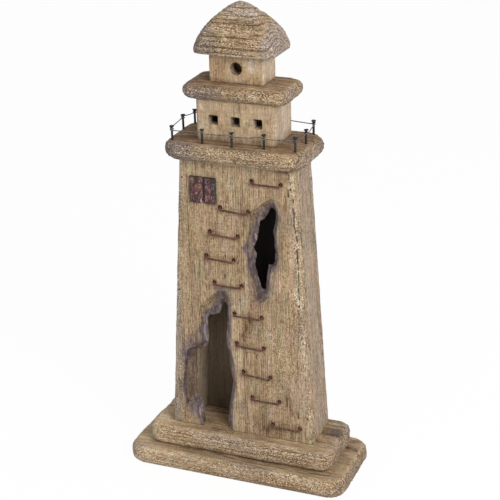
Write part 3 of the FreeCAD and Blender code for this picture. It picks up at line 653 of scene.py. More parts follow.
def plinth_paint(points, normals):
    """Both plinths, with a dark stain on the upper one's right end; faces turned right are painted darker as
    shade, the lower plinth's right face most, tops are painted lighter as light, and the left end is lighter.
    """
    right, left, top = facing(normals)
    x, y, z = points.T
    wander = noise(points, (26, 26, 12), 301)
    grey = (0.3 * left + 0.3 * right * rise(wander, -0.3, 0.4)
            + 0.4 * rise(noise(points, (30, 12, 8), 302), 0.2, 0.7))
    gold = 0.55 * rise(noise(points, (40, 16, 8), 303), -0.2, 0.5) * (1 - 0.5 * right)
    west = fall(x, -100, -30)
    stained = np.exp(-((x - 97) / 13) ** 2 - ((y - 8) / 9) ** 2) * (z > 44)
    low_end = right * fall(z, 20, 23)
    # Painted shade on faces turned right and painted light on tops.
    tone = 0.02 + 0.03 * wander - 0.07 * right - 0.05 * low_end + 0.15 * west + 0.04 * top - 0.3 * stained
    return most(grey, 0.9 * stained), gold, tone


def gallery_paint(points, normals):
    """The gallery: grey at its left end, and streaked on top; the left end's rims are also darker, partly
    painted shade, faces turned right are painted a little darker as shade, and the front of the top is
    darker.
    """
    right, _, top = facing(normals)
    x, y, _ = points.T
    wander = noise(points, (22, 22, 10), 311)
    west = fall(x + 14 * wander, -52, -14)
    gold = 0.5 * rise(noise(points, (36, 14, 7), 312), -0.2, 0.5) * (1 - right)
    streaks = noise(points, (30, 3.4, 9), 313) * top
    tone = (-0.07 * west * (1 - top) - 0.03 * right - 0.03 + 0.13 * streaks
            - 0.06 * top * rise(-y - 0.2 * x, 0, 20))
    return 0.9 * west + 0.5 * right, gold, tone


def deck_paint(points, normals):
    """The upper deck: grey and darker at its left end, the darkening partly painted shade; faces turned right
    are painted a little darker as shade and its top lighter as light.
    """
    right, _, top = facing(normals)
    wander = noise(points, (18, 18, 9), 321)
    west = fall(points[:, 0] + 10 * wander, -24, 0)
    return (0.7 * west + 0.35 * right + 0.3 * rise(wander, 0.2, 0.7), 0.25 * (1 - right),
            -0.1 * west - 0.02 * right + 0.04 * top)


# How roughly each kind of piece is worn: Wood's ridges, fibres, pits, chips and, for the last two, warp.
PLINTH_WEAR, GALLERY_WEAR, DECK_WEAR = (0.35, 0.35, 0.55, 1.0), (0.3, 0.3, 0.6, 1.0), (0.35, 0.35, 0.6, 1.0)
BOARD_WEAR, ROOM_WEAR = (0.26, 0.3, 0.2, 0.6, 0.42), (0.12, 0.2, 0.05, 0.3, 0.6)
PLINTH_RIM = 6  # the upper plinth's rounded rim doesn't touch the lower one

x0, x1, y0, y1 = foot("base_plinth_upper")
slab("base_plinth_lower", 20, 8, Wood(0, (30, -60), 4.1, 11, *PLINTH_WEAR), 1.4,
     [(x0 + PLINTH_RIM, x1 - PLINTH_RIM, y0 + PLINTH_RIM, y1 - PLINTH_RIM)], plinth_paint)
slab("base_plinth_upper", 15, 8, Wood(0, (-20, 90), 3.8, 13, *PLINTH_WEAR), 1.2, [TOWER_FOOT], plinth_paint)
slab("gallery_deck", 22.5, 9, Wood(0, (15, 330), 3.6, 15, *GALLERY_WEAR), 1.0, [TOWER_TOP, ROOM_FOOT],
     gallery_paint)
slab("upper_deck", 12.5, 7.5, Wood(0, (5, 398), 3.4, 17, *DECK_WEAR), 0.9, [ROOM_FOOT, LANTERN_FOOT],
     deck_paint)


# ---- the tower's front board ----

# Each rung's middle, across as a share of the tower's half width there and up as a share of its
# height, and its tilt in degrees: as in the part.
RUNGS = [
    (0.521, 0.944, 1.4), (-0.031, 0.838, 2.8), (-0.212, 0.747, 3.2), (-0.277, 0.659, 3.2),
    (-0.155, 0.566, 0.2), (0.145, 0.46, 0.9), (0.163, 0.347, 1.8), (0.245, 0.24, 4.3),
    (0.363, 0.149, 0.8), (0.636, 0.056, 0.2),
]
RUNG_HALF = 15


def tower_place(across, up):
    """The (x, z) of a place on the tower's front, given as the rungs' middles are."""
    z = FOOT_Z + TOWER_HEIGHT * up
    return TOWER_X + half_width(z) * across, z


# Where the rungs' legs and the brads go in, (x, z), and their holes, (radius, distance from the front).
LEG_HOLE = [(2.6, -1.5), (2.15, 0.3), (1.3, 2.4), (1.1, 10.5)]
BRAD_HOLE = [(1.0, -1.5), (0.9, 1.6)]
LEGS = [(x + side * RUNG_HALF * cos(radians(tilt)), z - side * RUNG_HALF * sin(radians(tilt)))
        for across, up, tilt in RUNGS for x, z in [tower_place(across, up)] for side in (-1, 1)]
BRADS = [(TOWER_X + side * (half_width(z) - 5), z)
         for z in [FOOT_Z + TOWER_HEIGHT * up for up in (0.1, 0.52, 0.93)] for side in (-1, 1)]

# The long fissure down the front's right side, and shorter ones: (x, z) corners.
CRACKS = [
    [(61.9, 315.6), (63.4, 296), (65.6, 274.2), (66.1, 260), (67.0, 247.8), (68.1, 229), (68.3, 210.1),
     (68.8, 203)],
    [(57.4, 330.5), (57.2, 317.1)], [(-62.5, 328), (-62.9, 317)], [(58.8, 341), (58.6, 334)],
    [(-12, 232), (-12.4, 214)], [(60, 96), (60.6, 78)], [(66, 88), (66.3, 74)],
]
# Pale lines, partly painted highlights where light catches the broken edges' lips and partly pale torn
# fibres: on the tongue that hangs left of the doorway, the stub under it, and the window's lip.
TORN_AND_HIGHLIGHTS = [
    [(-38.5, 163), (-38.8, 150), (-37, 143)], [(-35.4, 172), (-36.5, 160)], [(-36.5, 146), (-34.5, 142)],
    [(-50, 75), (-43.3, 70), (-40, 60)], [(-46, 68), (-43, 58)], [(-49.5, 62), (-49, 55)],
    [(-24, 182), (-18, 181)], [(16.4, 261), (18.9, 254.1), (22.6, 250)], [(19.2, 272), (20.1, 262.9)],
    [(44, 281), (44.3, 262)], [(45, 305), (45.4, 296)], [(-12.5, 157), (-12.8, 146)],
    [(-8.6, 178), (-9.4, 160)], [(38, 246), (42, 250)],
]
# Soft spots: (x, z, half width, half height, amount). First the purple smears beyond the broken edges.
SMEARS = [
    (-14, 199, 9, 9, 1.5), (-13, 210, 9, 4, 0.45), (26, 293, 5, 4, 0.9), (17.5, 234, 4, 17, 0.85),
    (25, 209, 7, 8, 1.2), (30, 202, 5, 7, 0.8), (41, 311, 4, 5, 0.5), (-60.5, 106, 2.4, 28, 0.7),
    (-59, 126, 4.5, 10, 0.95), (-47, 149, 6, 7, 1.0), (-54, 141, 6, 7, 1.0), (-52, 133, 7, 5, 0.6),
    (3, 78, 4, 8, 0.6), (-48, 63, 6.5, 9, 1.2), (-57, 67, 4, 9, 0.6), (-65, 88, 4.5, 13, 0.75),
    (-2, 120, 2, 14, 0.3),
]
# Lighter or darker spots: marks, pale scuffs, the darkest places of the smears, and painted shadow: the first
# four are a dark band below the gallery's overhang, partly painted shadow and partly streaks, and the thin
# band at (-45, 142) is painted shade under the tongue left of the doorway.
MARKS_AND_SHADOWS = [
    (53, 342.8, 10, 1.7, -0.6), (60, 333, 6, 1.6, -0.2), (45, 334, 5, 1.6, -0.2), (53, 336, 4, 4.5, -0.3),
    (66, 327, 3, 4, -0.16), (15, 179, 3, 7, -0.42), (11, 169, 3, 7, -0.42), (7, 159, 2.5, 7, -0.34),
    (34, 56, 13, 6, -0.2), (24, 66, 6, 10, -0.14), (-63, 322, 1.3, 5, -0.5), (62, 60, 9, 8, -0.14),
    (-5, 112, 1.3, 24, -0.24), (-62, 150, 9, 26, -0.05), (-66, 90, 6, 20, -0.07), (5, 66, 4, 8, -0.12),
    (-9, 165, 2.5, 12, 0.14), (54, 92, 1.2, 9, -0.35), (58, 86, 1.2, 8, -0.3), (70, 178, 2, 8, -0.14),
    (-2, 100, 1, 12, -0.2), (17, 150, 1, 12, -0.12),
    (62, 254, 4.5, 7, 0.2), (61, 270, 3, 5, 0.14), (65, 213, 3.5, 8, 0.24), (68, 203, 3, 5, 0.16),
    (50, 190, 6, 9, 0.05), (-68, 140, 6, 40, 0.16), (-64, 196, 4, 12, 0.12), (-62, 244, 4, 10, 0.12),
    (40, 130, 8, 16, 0.05), (14, 140, 5, 18, 0.05), (-54, 318, 5, 12, 0.06),
    (-15, 198, 8, 6, -0.34), (-24, 187, 6, 8, -0.2), (26, 292, 6, 4, -0.16), (17, 234, 4, 14, -0.1),
    (25, 208, 7, 7, -0.18), (-9, 128, 3, 7, -0.1), (-45, 142, 7, 3, -0.3), (-36, 160, 2, 12, -0.06),
    (-55.5, 127, 1.5, 3, -0.5), (-59.5, 72, 1.5, 3.5, -0.5), (-62.5, 58, 0.8, 12, -0.2),
    (-39, 60, 2.5, 9, -0.14),
]
GILDED = [
    (54, 246, 7, 22, 0.7), (9, 244, 5, 12, -0.5), (-34, 262, 14, 22, 0.35), (6, 180, 9, 26, 0.4),
    (52, 150, 9, 30, 0.45), (-40, 300, 12, 12, 0.3), (30, 110, 12, 20, 0.3), (20, 334, 26, 8, 0.4),
    (-57, 250, 6, 40, 0.35), (-5, 112, 2.5, 28, 0.7),
]
FLECKED = [
    (71, 160, 3, 12, 0.5), (66, 208, 4, 10, 0.8), (60, 250, 7, 40, 0.5), (-60, 230, 9, 60, 0.4),
    (-66, 110, 8, 50, 0.5), (63, 160, 8, 40, 0.4), (48, 130, 14, 30, 0.4), (-10, 300, 10, 26, 0.3),
    (40, 160, 12, 20, 0.3), (-20, 250, 12, 20, 0.2),
]


def spots(points, places, seed):
    """The sum of soft spots."""
    x, _, z = points.T
    total = np.zeros(len(points))
    for spot_x, spot_z, size_x, size_z, amount in places:
        total += amount * np.exp(-((x - spot_x) / size_x) ** 2 - ((z - spot_z) / size_z) ** 2)
    return total * (0.85 + 0.6 * noise(points, (3.5, 3.5, 9), seed))


def nearness(points, lines, core, fade):
    """1 within core of the lines, given as lists of (x, z) corners, and 0 beyond fade."""
    x, _, z = points.T
    found = np.zeros(len(points))
    across = x + 1.1 * noise(points, (40, 40, 6), 77) + 0.25 * noise(points, (40, 40, 2.5), 76)
    for corners in lines:
        for (x0, z0), (x1, z1) in zip(corners, corners[1:]):
            share = unit((z - z0) / (z1 - z0))
            inside = (z < max(z0, z1)) & (z > min(z0, z1))
            found = most(found, inside * fall(np.abs(across - (x0 + (x1 - x0) * share)), core, fade))
    return found


def from_hole(points, edge):
    """How far each point lies from the nearest point of the holes' inner edge: across, and up."""
    flat = 0.7  # heights count less than widths
    tree = KDTree(int(edge.sum()))
    for index, place in enumerate(points[edge]):
        tree.insert((place[0], 0, place[2] * flat), index)
    tree.balance()
    nearest = np.array([tree.find((x, 0, z * flat))[0] for x, _, z in points])
    return points[:, 0] - nearest[:, 0], points[:, 2] - nearest[:, 2] / flat


def level_ends(points, normals):
    return (np.abs(normals[:, 2]) > 0.9).astype(float)


def board_rim(points, normals):
    """High on the tower's rounded upright edges, and low on its faces."""
    x, _, z = points.T
    return 0.25 + 0.6 * rise(np.abs(x - TOWER_X), half_width(z) - 9, half_width(z) - 2)


def hollow_shade_layers(points, inner, shade_share, foot_shade=0.0):
    """Painted shade for the hollow: layers that darken the faces that look into it, most of all above the
    doorway, and near the foot where asked.
    """
    z = points[:, 2]
    hollow_shade = most(rise(z, 150, 225) * 0.95, foot_shade * fall(z, 70, 140))
    return {"inside": inner * shade_share, "hollow_shade": inner * hollow_shade}


def purple(points, across, above, ragged, shown):
    """The stain round the broken edges, which lie across and above away, and the doorway's right side."""
    x, _, z = points.T
    rightward, window, window_right = rise(across, 0, 2.5), x > 8, x > 30
    door_top = rise(above, 1, 5) * rise(x, -32, -25) * (x < -4) * rise(z, 172, 180)
    tongue = rise(z, 128, 138) * fall(z, 158, 168) * (x < -25)
    low_window = window * fall(z, 255, 266) * (1 - rightward)
    mid_window = window * rise(z, 250, 260) * fall(z, 284, 292) * (1 - rightward)
    door_right = rightward * (x > -20) * (x < 6) * fall(z, 190, 200)
    full = (1.0 - 0.3 * rightward * window_right + 0.6 * rise(above, 1, 5) + 3.5 * door_top + 2.5 * tongue
            + 2.4 * low_window + 2.0 * mid_window + 2.3 * door_right)
    away = np.hypot(across, 0.7 * above) + 1.5 * ragged
    return shown * fall(away, full, full + 3.4 + 1.2 * rightward * window_right), door_right


def round_legs(points, ragged):
    """The shadow round each rung's legs, and the rust that has run down from them."""
    x, _, z = points.T
    shadow, rust = np.zeros(len(points)), np.zeros(len(points))
    for leg_x, leg_z in LEGS:
        shadow = most(shadow, fall(np.hypot(x - leg_x, z - leg_z), 1.8, 3.4))
        below = np.where(z < leg_z, 0.5, 1) * (z - leg_z)
        rust = most(rust, fall(np.hypot(x - leg_x, below) + 1.5 * ragged, 2.0, 5.5))
    return shadow, rust


def front_board():
    """The CAD's board with its own holes plugged, carved, stained, and then drilled for legs and brads."""
    thick = FRONT_INNER_Y - FRONT_Y
    plugs = [pin for places, radius in ((LEGS, 2.4), (BRADS, 1.6))
             for pin in pins(places, FRONT_Y, [(radius, 0), (radius, thick)])]
    board = remeshed(join([copied("tower_front_board")] + plugs), 1.0)

    # The broken edges, hollowed between the front and a standing inner lip.
    points, normals = points_of(board)
    x, y, z = points.T
    through = unit((y - FRONT_Y) / thick)
    outer = half_width(z) - np.abs(x - TOWER_X) < 5.6
    ends = (np.abs(normals[:, 2]) > 0.9) & (z > 300) | (z < 46.4)
    bevel = (through > 0.05) & (through < 0.97) & ~outer & ~ends
    widened = rise(-x, 37, 41) * fall(z, 134, 143) * rise(z, 74, 80)
    bowl = rise(through, 0.04, 0.25) * fall(through, 0.4, 0.66) * bevel * (1 - 0.8 * widened)
    carved = bowl * (0.9 + 1.1 * noise(points, (7, 7, 8), 91) + 0.55 * noise(points, (3.2, 3.2, 15), 92))
    lip = bevel * rise(through, 0.62, 0.92)
    points = points - normals * (carved + lip * 0.45 * noise(points, (3.4, 3.4, 4), 93))[:, None]
    x, _, z = points.T
    points[:, 0] += 2.6 * rise(x, -54, -46) * (x < -36) * np.exp(-((z - 68) / 7) ** 2)
    set_points(board, points)
    knots = [(52, FRONT_Y, 132, 10, 8), (62, FRONT_Y, 207, 5, 4), (-30, FRONT_Y, 236, 7, -2.5)]
    wood = Wood(2, (-170, 20), 2.35, 31, 0.24, 0.3, 0.2, 0.7, 0.3, knots)
    points, normals = weather(board, wood, board_rim,
                              lambda p, n: most(level_ends(p, n), n[:, 1] > 0.8, 0.6 * bevel))
    x, y, z = points.T
    nx, ny, _ = normals.T
    crack = nearness(points, CRACKS, 0.15, 1.15) * rise(noise(points, (30, 30, 4.5), 78), -0.25, 0.2)
    crack = crack * (ny < -0.5)
    set_points(board, points_of(board)[0] + np.outer(crack * 1.2, (0, 1, 0)))

    # The colour layers.
    face = (ny < -0.5) & (through < 0.2)
    shown = face | bevel
    inner = (ny > 0.5).astype(float)
    bare = widened * (through > 0.03) * ~outer
    across, above = from_hole(points, bevel & (through > 0.72))
    ragged = noise(points, (5, 5, 11), 95) + 0.6 * noise(points, (2.0, 2.0, 5), 94)
    stain, door_right = purple(points, across, above, ragged, shown)
    # The widened part at the doorway's left is bare brown wood, purple only along its far side.
    stain = stain * (1 - 0.9 * widened)
    stain = np.clip(most(stain, shown * spots(points, SMEARS, 96)), 0, 1.4)
    stain = stain * (1 - 0.4 * rise(noise(points, (5, 5, 14), 97), 0.2, 0.7))
    # Painted highlights on the broken edges: a glint along the inner lip, and pale lines that are partly torn
    # fibres; both go to the lip layer.
    glint = 0.3 * lip * rise(noise(points, (3.4, 3.4, 7), 98), 0.0, 0.5) * (1 - widened)
    torn_and_glints = (0.5 + 0.35 * (x > 8)) * nearness(points, TORN_AND_HIGHLIGHTS, 0.1, 0.95) * shown
    torn_and_glints = torn_and_glints * rise(noise(points, (3, 3, 5), 99), -0.6, 0.1)
    edge = rise(np.abs(x - TOWER_X), half_width(z) - 10, half_width(z) - 4)
    # Painted light and shade in the tone: lighter at the top, against the shade under the gallery; lighter on
    # the doorway's right side and on bevels that face left, away from the key light; darker on bevels that
    # face right, towards it. The widened part is darker, partly painted shade, with a dark joint at its inner
    # edge.
    tone = 0.09 * rise(z, 318, 333) * face + 0.12 * door_right
    tone = tone + shown * spots(points, MARKS_AND_SHADOWS, 61)
    tone = tone + (0.18 + 0.08 * (x > 30)) * bevel * rise(across, 0, 2.5) * (nx < -0.2)
    tone = tone - 0.13 * bevel * rise(nx, 0.1, 0.5)
    tone = tone - bare * (0.2 + 0.16 * rise(through, 0.86, 0.94)) + 0.05 * edge * face
    shadow, rust = round_legs(points, ragged)
    shadow = shadow * face
    grey = 0.55 * fall(x + 8 * noise(points, (16, 16, 40), 64), -72, -56) + 0.25 * edge
    set_layers(board, stain=unit(stain) * (1 - inner), lip=most(glint, torn_and_glints) * (1 - inner),
               tone=tone - 0.3 * shadow, gold=unit(face * spots(points, GILDED, 63) + 0.6 * shadow),
               grey=unit(grey * face + 0.3 * bare), rust=rust * face * 0.7, crack=crack,
               fleck=unit(face * spots(points, FLECKED, 66)) - 0.2 * bare,
               **hollow_shade_layers(points, inner, 0.75))

    without(board, pins(LEGS, FRONT_Y, LEG_HOLE, 14) + pins(BRADS, FRONT_Y, BRAD_HOLE))
    finished(board, BOARD, "tower_front_board")


front_board()


# ---- the tower's back and side boards ----

def tapered(node, outline):
    """A board of the tower; outline(half) lists its corners where the tower is twice half wide."""
    low, high = box_mm(node)
    rings = [[(x, y, z) for x, y in outline(half)] for z, half in ((low[2], FOOT_HALF), (high[2], TOP_HALF))]
    return remeshed(lofted("look_" + node, rings), 1.3)


def back_outline(half):
    arc = [(half, BACK_INNER_Y)]
    for step in range(ARC_STEPS + 1):
        angle = pi / 2 * step / ARC_STEPS
        arc.append((half - EDGE_RADIUS * (1 - cos(angle)), BACK_Y - EDGE_RADIUS * (1 - sin(angle))))
    return [(TOWER_X + x, y) for x, y in arc] + [(TOWER_X - x, y) for x, y in arc[::-1]]


def side_outline(half, side, y0, y1):
    """A side board's corners; a tongue at each end reaches a little into the front and the back board."""
    inner, outer = TOWER_X + side * (half - 24), TOWER_X + side * half
    tongue = outer - side * 0.5
    root = tongue - side * 6
    ring = [(inner, y0), (root, y0), (root, y0 - 2), (tongue, y0 - 2), (tongue, y0), (outer, y0), (outer, y1),
            (tongue, y1), (tongue, y1 + 2), (root, y1 + 2), (root, y1), (inner, y1)]
    return ring if side > 0 else ring[::-1]


def back_board():
    board = tapered("tower_back_board", back_outline)
    points, normals = weather(board, Wood(2, (190, -20), 2.5, 33, *BOARD_WEAR), board_rim,
                              lambda p, n: most(level_ends(p, n), n[:, 1] < -0.8))
    set_layers(board, **hollow_shade_layers(points, (normals[:, 1] < -0.6).astype(float), 0.8, 0.3),
               grey=0.4 * board_rim(points, normals))
    without(board, pins(BRADS, BACK_Y, [(0.9, -1.6), (1.0, 1.5)]))
    finished(board, BOARD, "tower_back_board")


def side_board(node, side):
    low, high = box_mm(node)
    board = tapered(node, lambda half: side_outline(half, side, low[1], high[1]))
    points, normals = weather(board, Wood(2, (side * 60, 140), 2.5, 35 + side, *BOARD_WEAR), 0.4,
                              lambda p, n: most(level_ends(p, n), np.abs(n[:, 1]) > 0.8))
    x, _, z = points.T
    edge_on = (normals[:, 1] < -0.5) & (np.abs(x - TOWER_X) < half_width(z) - 12)
    inner = ((normals[:, 0] * side < -0.6) | edge_on).astype(float)
    set_layers(board, grey=0.42, tone=0.03, **hollow_shade_layers(points, inner, 0.4))
    finished(board, BOARD, node)


back_board()
side_board("tower_left_board", -1)
side_board("tower_right_board", 1)


# ---- the rooms and the roof ----

def room_board(prefix, number, place, voxel, gilding):
    """A wall darker and rust-brown along its foot, partly dirt and partly painted shade where it meets the
    deck, window reveals painted darker as shade, and a right side painted paler and greyer as light.
    """
    node = f"{prefix}_{place}_board"
    board = remeshed(copied(node), voxel)
    wood = Wood(2, (number * 11 - 20, 30), 2.3, 50 + number, *ROOM_WEAR)
    points, normals = weather(board, wood, 0.3, level_ends)
    x, _, z = points.T
    nx, ny, nz = normals.T
    foot_dirt_and_shade = fall(z - box_mm(node)[0][2] + 3 * noise(points, (7, 7, 7), 401), 0, 7)
    right = rise(nx, 0.5, 0.9)
    reveal_shade = (np.abs(ny) < 0.6) & (np.abs(x - TOWER_X) < 36) & (np.abs(nz) < 0.99)
    reveal_shade = reveal_shade * (1 - right * (x > 20))
    worn = rise(noise(points, (14, 14, 9), 402), -0.1, 0.6)
    blots = rise(noise(points, (8, 8, 12), 404), 0.05, 0.6)
    pale = np.exp(-((x - 17) / 4) ** 2 - ((z - 441) / 5) ** 2)
    # Painted shade along the foot and in the reveals, and painted light on the right side.
    set_layers(board, tone=(0.08 + 0.04 * (gilding > 0.5) - 0.13 * foot_dirt_and_shade + 0.12 * right - 0.2 * reveal_shade
                            - 0.1 * blots + 0.15 * pale),
               rust=0.55 * foot_dirt_and_shade * rise(noise(points, (6, 6, 12), 403), -0.2, 0.3),
               gold=unit((gilding * (1 - 0.4 * worn) + 0.4 * blots) * (1 - 0.9 * right)),
               grey=unit(0.25 * worn + 0.3 * right + 0.3 * reveal_shade + 0.4 * pale))
    finished(board, ROOM, node)


def roof():
    """The carved roof, grey at its ends and pale on its crest; its right end is also lighter, partly painted
    light.
    """
    thing = remeshed(copied("roof"), 0.8)
    points, _ = weather(thing, Wood(0, (-6, 440), 3.1, 71, 0.6, 0.3, 0.5, 0.8, 0.3), 0.9,
                        lambda p, n: most(n[:, 2] < -0.8, 0.8 * rise(p[:, 2], 490, 499)))
    x, _, z = points.T
    wander = noise(points, (14, 14, 9), 411)
    west = fall(x + 8 * wander, -34, -20)
    crest = rise(z + 4 * wander, 484, 494)
    grey = most(0.75 * west, 0.8 * rise(x + 5 * wander, 24, 36), 0.5 * crest)
    grey = most(grey, 0.6 * fall(z + 5 * wander, 462, 472) * fall(x, -22, -8))
    gold = 0.5 * rise(noise(points, (26, 12, 8), 412), -0.25, 0.35) * (1 - grey)
    set_layers(thing, grey=unit(grey), gold=unit(gold),
               tone=(0.06 * west + 0.14 * rise(x, 22, 34) + 0.18 * crest
                     - 0.08 * fall(z, 460, 470) * fall(x, -20, -6)))
    finished(thing, ROOF, "roof")


for prefix, voxel, gilding in (("watch_room", 0.9, 0.1), ("lantern_room", 0.8, 0.8)):
    for number, place in enumerate(("front", "back", "left", "right")):
        room_board(prefix, number, place, voxel, gilding)
roof()


# ---- the ladder's rungs: bent wire staples in drilled holes ----

def rung(number, share_x, share_z, tilt):
    """A staple whose two legs go into the front board; its bar hangs a little below its legs."""
    centre_x, centre_z = tower_place(share_x, share_z)
    half, reach, drop, inward = RUNG_HALF, 2.5, 1.9, 1.0
    left = [(-half, 10, 0), (-half, 4, 0), (-half, 1.5, -0.2), (-half + 0.1, -0.6, -0.8),
            (-half + inward, -reach, -drop)]
    spread = [(share * (half - inward), -reach, -drop) for share in (-0.92, -0.5, 0, 0.5, 0.92)]
    corners = np.array(left + spread + [(-across, deep, high) for across, deep, high in reversed(left)])
    bend = noise(corners + (number * 50, 0, 0), (9, 9, 9), 500 + number)
    corners[3:-3, 2] += 0.35 * bend[3:-3]
    corners[3:-3, 1] -= 0.2 * bend[3:-3]
    across, deep, high = smooth_line(corners, 5).T
    lean = radians(tilt)
    line = np.stack([centre_x + across * cos(lean) + high * sin(lean), deep + FRONT_Y,
                     centre_z - across * sin(lean) + high * cos(lean)], axis=1)
    node = f"ladder_rung_{number:02d}"
    finished(tube("look_" + node, line, 1.0, 10, 0.13, 510 + number), RUST, node)


for number, place in enumerate(RUNGS, 1):
    rung(number, *place)


# ---- the shutters ----

def shutter(side, node):
    """A painted leaf with nibbled edges, bare along its outer side; along the joint the right leaf is painted
    darker as shade and the left leaf lighter as light, where their chamfers turn away from and towards the
    light.
    """
    leaf = remeshed(copied(node), 0.4)
    points, normals = points_of(leaf)
    x, y, z = points.T
    low, high = box_mm(node)
    border = np.minimum(np.minimum(x - low[0], high[0] - x), np.minimum(z - low[2], high[2] - z))
    nibbled = fall(border, 0, 1.2) * rise(noise(points, (3, 3, 4.5), 521 + side), 0.0, 0.6)
    dents = 0.5 + 0.5 * noise(points, (1.6, 1.6, 3.2), 531 + side)
    wear = (0.8 * nibbled + 0.22 * dents * (1 - rise(border, 0.8, 3) * 0.3)) * (y < FRONT_Y - 0.3)
    proud = rise(-normals[:, 1], -0.4, 0.3)
    joint_x, outer_x = (low[0], high[0]) if side > 0 else (high[0], low[0])
    joint, outer = np.abs(x - joint_x), np.abs(x - outer_x)
    rag = noise(points, (1.8, 1.8, 2.6), 561)
    rim = fall(border + 0.9 * rag, 0.2, 1.6)
    # Painted shade on the right leaf's side of the joint, painted light on the left leaf's.
    tone = (-0.06 + 0.1 * nibbled - 0.2 * rim - 0.22 * fall(joint, 1.6, 3.2) * (side > 0)
            + 0.16 * fall(joint, 1.4, 3.4) * (side < 0) - 0.06 * (side > 0)
            + 0.08 * rise(noise(points, (4, 4, 6), 562), 0.1, 0.6))
    grey = (0.8 if side > 0 else 0.1) * fall(outer + 1.6 * rag, 1.0, 3.6) + 0.2 * rim
    set_points(leaf, points - normals * (wear * proud)[:, None])
    set_layers(leaf, tone=tone, grey=unit(grey))
    finished(leaf, PAINT, node)


shutter(-1, "shutter_left")
shutter(1, "shutter_right")


# ---- the railing: nails and one wound wire ----

def nail(number):
    """A flat-headed nail, a little bent, its head hammered out of round; returns its place (x, y)."""
    node = f"rail_post_{number:02d}"
    low, high = box_mm(node)
    x, y = (low[:2] + high[:2]) / 2
    tip, top = low[2], high[2]
    profile = [(0.15, tip), (1.0, tip + 3), (1.16, tip + 10), (1.14, top - 3.2), (1.16, top - 1.9),
               (1.5, top - 1.45), (2.25, top - 1.2), (2.42, top - 0.85), (2.4, top - 0.45), (2.1, top - 0.12),
               (0.9, top - 0.05)]
    lean_x, lean_y = 0.35 * noise(np.array([[number * 7.0, 1, 2], [number * 7.0, 31, 9]]), (1, 1, 1), 541)
    angles = 2 * pi * np.arange(20) / 20
    across, deep = np.cos(angles), np.sin(angles)
    rings = []
    for radius, level in profile:
        share = rise(level, tip + 12, top)
        here = np.stack([across * 2 + number * 9, deep * 2, np.full(20, level * 0.4)], axis=1)
        swell = 1 + 0.07 * noise(here, (1, 1, 1), 551)
        slope = 0.14 * np.cos(angles - number * 2.1) * (radius > 1.2)
        rings.append(np.stack([x + lean_x * share + radius * swell * across,
                               y + lean_y * share + radius * swell * deep,
                               np.minimum(level + slope * (radius / 2.4), top)], axis=1))
    finished(lofted("look_" + node, rings), IRON, node)
    return x, y


POSTS = [nail(number) for number in range(1, 13)]
WRAP_Z = box_mm("rail_post_01")[1][2] - 2.6
WRAP_RADIUS, WRAP_PITCH, TAIL_DROP = 1.68, 1.9, 4.5


def railing_wire():
    """One wire, a turn round each nail under its head, from the middle of the back row and round to it."""
    centres = [np.array(POSTS[(8 + step) % 12]) for step in range(13)]
    pulls = [np.arctan2(*(after - before)[::-1]) - pi / 2 for before, after in zip(centres, centres[1:])]
    line = []
    for step, centre in enumerate(centres):
        first, last = pulls[max(step - 1, 0)], pulls[min(step, 11)]
        turn_by = 2 * pi + (last - first + pi) % (2 * pi) - pi
        high = WRAP_Z - (TAIL_DROP if step == 0 else 0)
        start, end = (high - WRAP_PITCH, high) if step == 0 else (high, high - WRAP_PITCH)
        for share in np.linspace(0, 1, 17):
            angle = first + turn_by * share
            line.append((centre[0] + WRAP_RADIUS * cos(angle), centre[1] + WRAP_RADIUS * sin(angle),
                         start + (end - start) * share))
        if step < 12:
            here, following = line[-1], centres[step + 1]
            goal = (following[0] + WRAP_RADIUS * cos(last), following[1] + WRAP_RADIUS * sin(last), WRAP_Z)
            for share in np.linspace(0, 1, 14)[1:-1]:
                sag = (-0.35 * sin(pi * share) + 0.12 * sin(3 * pi * share + step)) * sin(pi * share)
                x, y, z = (before + (after - before) * share for before, after in zip(here, goal))
                line.append((x, y, z + sag))
    return tube("look_railing_wire", smooth_line(line, 2), 0.48, 8, 0.08, 561)


finished(railing_wire(), STEEL, "railing_wire")


# ---- hidden fasteners: the CAD's own shapes ----

for name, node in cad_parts.items():
    if name in ("base_screws", "tower_brads") or name.endswith("dowels"):
        node.data.materials.clear()
        node.data.materials.append(DOWEL if name.endswith("dowels") else IRON)


# ---- floor, lights and camera ----

FLOOR_REACH, FLOOR_DEPTH = 6000, 2
WHITE = (1, 1, 1, 1)


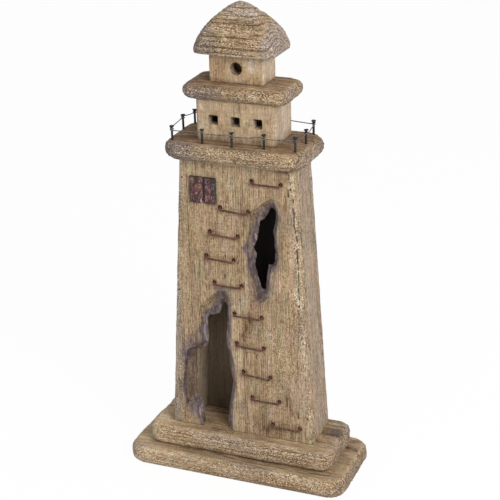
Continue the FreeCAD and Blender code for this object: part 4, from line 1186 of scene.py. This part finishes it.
def floor_material():
    """Pale, and almost white where the camera, a gloss or a glass looks at it."""
    g = new_graph("pale floor")
    lit = g.node("BsdfDiffuse", {"Color": (0.86, 0.86, 0.86, 1)})
    glow = g.node("Emission", {"Color": WHITE, "Strength": 1.0})
    path = g.node("LightPath")
    seen = g.math("MAXIMUM", path.outputs["Is Camera Ray"], path.outputs["Is Glossy Ray"])
    seen = g.math("MAXIMUM", seen, path.outputs["Is Transmission Ray"])
    blend = g.node("MixShader", {0: g.times(seen, 0.955), 1: lit.outputs[0], 2: glow.outputs[0]})
    return g.output(blend.outputs[0])


def area_light(name, place, size, power):
    """A round lamp that looks at the middle of the ornament, in metres."""
    light = bpy.data.lights.new(name, "AREA")
    light.shape, light.size, light.energy = "DISK", size, power
    lamp = linked(name, light)
    lamp.location = place
    lamp.rotation_euler = (Vector((0, 0, 0.24)) - Vector(place)).to_track_quat("-Z", "Y").to_euler()


corners = np.array([(-1, -1, 0), (1, -1, 0), (1, 1, 0), (-1, 1, 0)]) * FLOOR_REACH
floor = lofted("floor", [corners - (0, 0, FLOOR_DEPTH), corners])
floor.data.materials.append(floor_material())

area_light("key", (1.55, -1.15, 1.4), 1.0, 42)
area_light("fill", (-1.4, -1.6, 0.9), 1.6, 5)

g = Graph(bpy.data.worlds.new("studio"))
scene.world = g.owner
soft, white = (g.node("Background", {"Color": WHITE, "Strength": level}).outputs[0] for level in (0.6, 1))
path = g.node("LightPath")
g.output(g.node("MixShader", {0: path.outputs["Is Camera Ray"], 1: soft, 2: white}).outputs[0],
         "OutputWorld")

AZIMUTH, ELEVATION, ROLL = radians(21.452), radians(22.758), radians(-0.974)
backward = Vector((sin(AZIMUTH) * cos(ELEVATION), -cos(AZIMUTH) * cos(ELEVATION), sin(ELEVATION)))
rightward = Vector((cos(AZIMUTH), sin(AZIMUTH), 0))
upward = backward.cross(rightward)
camera = linked("camera", bpy.data.cameras.new("camera"))
camera.data.sensor_width = 36
camera.data.lens = 100.913
camera.data.shift_x, camera.data.shift_y = -0.03611, 0.00715
turn = Matrix((rightward * cos(ROLL) + upward * sin(ROLL), upward * cos(ROLL) - rightward * sin(ROLL),
               backward)).transposed()
camera.matrix_world = Matrix.Translation((0.504239, -1.217082, 0.792874)) @ turn.to_4x4()
scene.camera = camera
scene.view_settings.view_transform = "Standard"
